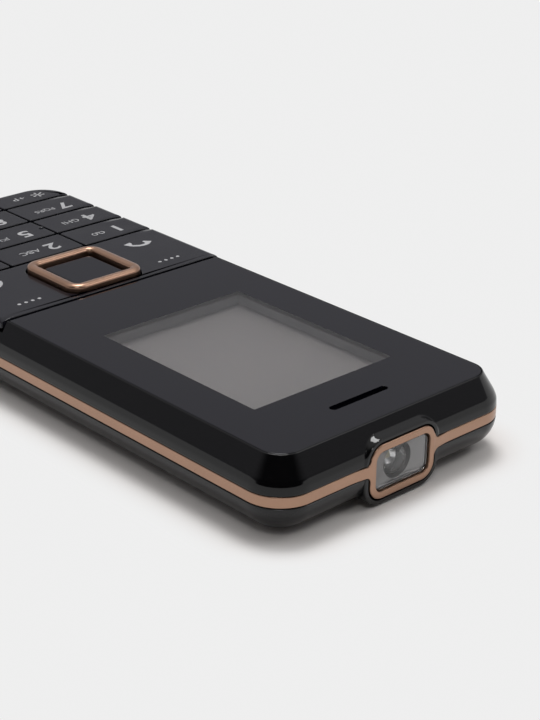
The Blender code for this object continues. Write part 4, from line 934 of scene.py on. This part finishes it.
def cap_points(box, radii, arc=10, runs=no_runs):
    """Grid of a key cap: skirt from below, then rings that step inwards over the top."""
    plan = rounded_ring(box, radii, cap_steps, arc, runs)
    height = keypad_height(plan[..., 0], plan[..., 1], cap_steps[:, None])
    top = np.concatenate([plan, height[..., None]], axis=-1)
    skirt = top[:1].copy()
    skirt[..., 2] = key_skirt + 0.1
    foot = top[1:3][::-1].copy()
    foot[0, :, 2] = key_skirt
    foot[1, :, 2] = key_skirt + 0.02
    return np.concatenate([foot, skirt, top])


def plunger(x, y, high=plunger_high):
    """The round stem under a key."""
    line = soft_profile([(0.35, plunger_low), (0, plunger_low), (0, high)], 0.15, 3)
    stem = square_box((x, y), (plunger_radius, plunger_radius))
    return solid("plunger", upright(stem, plunger_radius, line, 6), key_black)


def tactile_nub():
    """The low round dome on the 5, by which a thumb finds it."""
    angle = (np.linspace(0, 1, 7) * np.pi / 2)[1:-1]
    dome = np.stack([nub_radius * (1 - np.cos(angle)), nub_levels[1] + nub_rise * np.sin(angle)], axis=-1)
    line = np.concatenate([[[0, nub_levels[0]], [0, nub_levels[1]]], dome])
    nub_box = square_box(nub_middle, (nub_radius, nub_radius))
    return solid("nub", upright(nub_box, nub_radius, line, 6), key_black)


key_black = moulded("key_black", (0.009, 0.009, 0.0135), 0.16, 1.38, grain=(5200.0, 0.0015), haze=0.25)
key_names = (("1", "2", "3"), ("4", "5", "6"), ("7", "8", "9"), ("star", "0", "hash"))
inner_side = column_line - column_gap / 2
outer_side = column_line + column_gap / 2
columns = ((key_box[0], -outer_side), (-inner_side, inner_side), (outer_side, key_box[1]))
for row, names in enumerate(key_names):
    high = row_line - row * row_pitch - row_gap / 2
    low = key_box[2] if row == 3 else row_line - (row + 1) * row_pitch + row_gap / 2
    for column, name in enumerate(names):
        corners = [cap_corner] * 4
        if name == "star":
            corners[2] = key_corner
        if name == "hash":
            corners[3] = key_corner
        cap_grid = cap_points((*columns[column], low, high), corners, 12, (inner_shares(6),) * 4)
        cap = solid(f"cap_{name}", cap_grid, key_black)
        carve(cap, plunger((column - 1) * plunger_pitch, plunger_y[row]), joined=True)
        if name == "5":
            carve(cap, tactile_nub(), joined=True)
        shade(cap)
        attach(cap, f"key_{name}")
        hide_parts(f"key_{name}")

# Function plate: one O-shaped cap round the navigation ring, with the two soft keys and the two call
# keys as its corners, moulded with the number keys' rolled edge.
plate_gap = 0.5
plate_box = (key_box[0], key_box[1], row_line + row_gap / 2, seam_y - plate_gap)
function_y = -16.875
ring_half = (8.0, 7.9)
ring_corner = 2.8
ring_gap = 0.35
ring_box = square_box((0.0, function_y), ring_half)
outer_steps = cap_steps[:-1]
inner_steps = cap_steps[:7][::-1]
plate_runs = (inner_shares(30), inner_shares(14), inner_shares(30), inner_shares(14))
outer = rounded_ring(plate_box, cap_corner, outer_steps, 10, plate_runs)
outer_own = np.broadcast_to(outer_steps[:, None], outer.shape[:2])
inner = rounded_ring(grown(ring_box, ring_gap), ring_corner + ring_gap, -inner_steps, 10, plate_runs)
inner_own = np.broadcast_to(inner_steps[:, None], inner.shape[:2])
plan = np.concatenate([outer, inner])
height = keypad_height(plan[..., 0], plan[..., 1], np.concatenate([outer_own, inner_own]))
plate_top = np.concatenate([plan, height[..., None]], axis=-1)
under = plate_top[[-1, 0]].copy()
under[..., 2] = key_skirt
function_cap = surface("function_cap", np.concatenate([plate_top, under]), (True, True), key_black)
shade(function_cap)
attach(function_cap, "function_plate")
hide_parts("function_plate")

# Navigation ring and centre key: a rose-gold metal tube bent into a rounded square, half round on top,
# and inside it one black cap that stands a little lower.
ring_width = 1.85
ring_top = 14.6
ring_round = 0.62
ring_foot = (12.1, 12.2)
middle_gap = 0.3
middle_corner = 1.6
middle_stem = 12.8
round_angle = np.linspace(0, 1, 17) * np.pi
tube = np.stack([ring_width / 2 * (1 - np.cos(round_angle)),
                 ring_top - ring_round + ring_round * np.sin(round_angle)], axis=-1)
ring_line = np.concatenate([[[0.1, ring_foot[0]], [0, ring_foot[1]]], tube,
                            [[ring_width, ring_foot[1]], [ring_width - 0.1, ring_foot[0]]]])
ring_runs = (inner_shares(8),) * 4
ring_points = upright(ring_box, ring_corner, ring_line, 20, ring_runs)
direction_ring = surface("direction_ring", ring_points, (True, True), rose_gold)
shade(direction_ring, 50.0)
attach(direction_ring, "nav_ring")
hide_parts("nav_ring")

middle_box = grown(ring_box, -ring_width - middle_gap)
middle_line = soft_profile([(0.25, 12.6), (0, 12.6), (0, 13.2), (0.85, 13.7), (1.6, 13.7)], 0.2, 5)
middle_black = moulded("middle_black", (0.002, 0.002, 0.006), 0.09, 1.38, grain=(900.0, 0.0004), haze=0.3)
middle_cap = solid("middle_cap", upright(middle_box, middle_corner, middle_line, 14, ring_runs), middle_black)
carve(middle_cap, plunger(0.0, function_y, middle_stem), joined=True)
shade(middle_cap)
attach(middle_cap, "center_key")
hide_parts("center_key")

# Legends: pale grey ink, pad printed on the finished caps in one thin layer for each key.
ink_low = 13.292
ink_high = 13.312
digit_height = 3.15
digit_boldness = 0.022
word_height = 1.45
legend_y = -30.8
legend_pitch = 8.55
legend_x = ((-18.5, -14.0), (-3.3, 1.6), (12.3, 16.7))
loop_half = 0.8
loop_radii = (0.62, 0.4)
handset_radius = 2.55
handset_scale = 1.2
call_place = (16.1, -21.0)
call_tilt = 0.3
dot_radius = 0.33
dots_x = (13.4, 14.8, 16.2, 17.6)
dots_y = -11.8
ink = moulded("legend_ink", (0.44, 0.44, 0.45), 0.5, 1.4, grain=(9000.0, 0.002), shade_range=(0.88, 1.08))


def lettering(words, middle, height, stretch=1.0, boldness=0.0):
    """Characters as a thin mesh: their outline is scaled to a height, widened, and centred on a point."""
    curve = bpy.data.curves.new("lettering", "FONT")
    curve.body = words
    curve.extrude = 0.5
    curve.resolution_u = 6
    curve.offset = boldness
    holder = placed("lettering", curve)
    made = bpy.data.meshes.new_from_object(holder.evaluated_get(bpy.context.evaluated_depsgraph_get()))
    bpy.data.objects.remove(holder, do_unlink=True)
    points = np.zeros(len(made.vertices) * 3)
    made.vertices.foreach_get("co", points)
    points = points.reshape(-1, 3)
    low = points.min(axis=0)
    high = points.max(axis=0)
    scale = height / (high[1] - low[1])
    points = (points - (low + high) / 2) * (scale * stretch, scale, ink_high - ink_low)
    points += (middle[0], middle[1], (ink_low + ink_high) / 2)
    made.vertices.foreach_set("co", (points * mm).ravel())
    return made


def flat_mark(plan, hole=None):
    """A printed shape: its outline (anticlockwise), with a matching outline for its hole where it has one."""
    rows = [(plan, ink_low), (plan, ink_high)]
    if hole is not None:
        rows += [(hole, ink_high), (hole, ink_low)]
    grid = np.stack([np.concatenate([line, np.full((len(line), 1), level)], axis=1) for line, level in rows])
    piece = surface("mark", grid, (hole is not None, True), ink, caps=hole is None)
    made = piece.data
    bpy.data.objects.remove(piece, do_unlink=True)
    return made


def print_on(name, body, marks):
    """One printed piece from several marks, riding on the body it is printed on."""
    joined = bmesh.new()
    for mark in marks:
        joined.from_mesh(mark)
    made = bpy.data.meshes.new(name)
    joined.to_mesh(made)
    joined.free()
    made.materials.clear()
    made.materials.append(ink)
    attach(placed(name, made), body)


def disc(middle, radius, hole=None, steps=20):
    """A printed dot, or a ring where it has a hole."""
    angle = np.linspace(0, 2 * np.pi, steps + 1)[:-1]
    unit = np.stack([np.cos(angle), np.sin(angle)], axis=-1)
    return flat_mark(unit * radius + middle, unit * hole + middle if hole else None)


def handset(middle, tilt):
    """Telephone handset: an arc of even width whose two ends widen into the ear and mouth pieces."""
    share = np.linspace(0, 1, 25)
    angle = np.pi * (0.86 - 0.72 * share)
    width = 0.3 + 0.36 * np.clip((np.abs(share - 0.5) - 0.27) / 0.1, 0, 1)
    radius = handset_radius * handset_scale
    unit = np.stack([np.cos(angle), np.sin(angle)], axis=-1)
    plan = np.concatenate([unit * (radius - 2 * width[:, None] * handset_scale), (unit * radius)[::-1]])
    plan[:, 1] -= radius * 0.75
    spin = np.array([[math.cos(tilt), -math.sin(tilt)], [math.sin(tilt), math.cos(tilt)]])
    return flat_mark(plan @ spin.T + np.asarray(middle))


def message_mark(x, y):
    """The voice mail sign: two loops on a short bar."""
    low = y - loop_radii[0]
    high = y - loop_radii[1]
    bar = np.array([(x - loop_half, low), (x + loop_half, low), (x + loop_half, high), (x - loop_half, high)])
    return [disc((x - loop_half, y), *loop_radii), disc((x + loop_half, y), *loop_radii), flat_mark(bar)]


letters = {"2": "ABC", "3": "DEF", "4": "GHI", "5": "JKL", "6": "MNO", "7": "PQRS", "8": "TUV", "9": "WXYZ"}
for row, names in enumerate(key_names):
    y = legend_y - row * legend_pitch
    for column, name in enumerate(names):
        digit_x, word_x = legend_x[column]
        if name == "star":
            marks = [lettering("*", (digit_x, y), 2.5, 1.2), lettering("+P", (word_x, y - 0.2), 1.5, 1.2)]
        elif name == "hash":
            marks = [lettering("#", (digit_x, y), 2.6, 1.15)]
        else:
            shift = 0.6 if name == "0" else 0.0
            marks = [lettering(name, (digit_x + shift, y), digit_height, 1.27, digit_boldness)]
        if name in letters:
            marks.append(lettering(letters[name], (word_x, y - 0.05), word_height, 1.1))
        if name == "1":
            marks += message_mark(word_x, y)
        print_on(f"print_{name}", f"key_{name}", marks)
call_marks = [handset((side * call_place[0], call_place[1]), side * call_tilt) for side in (-1, 1)]
call_marks += [disc((side * x, dots_y), dot_radius) for side in (1, -1) for x in dots_x]
print_on("print_function", "function_plate", call_marks)
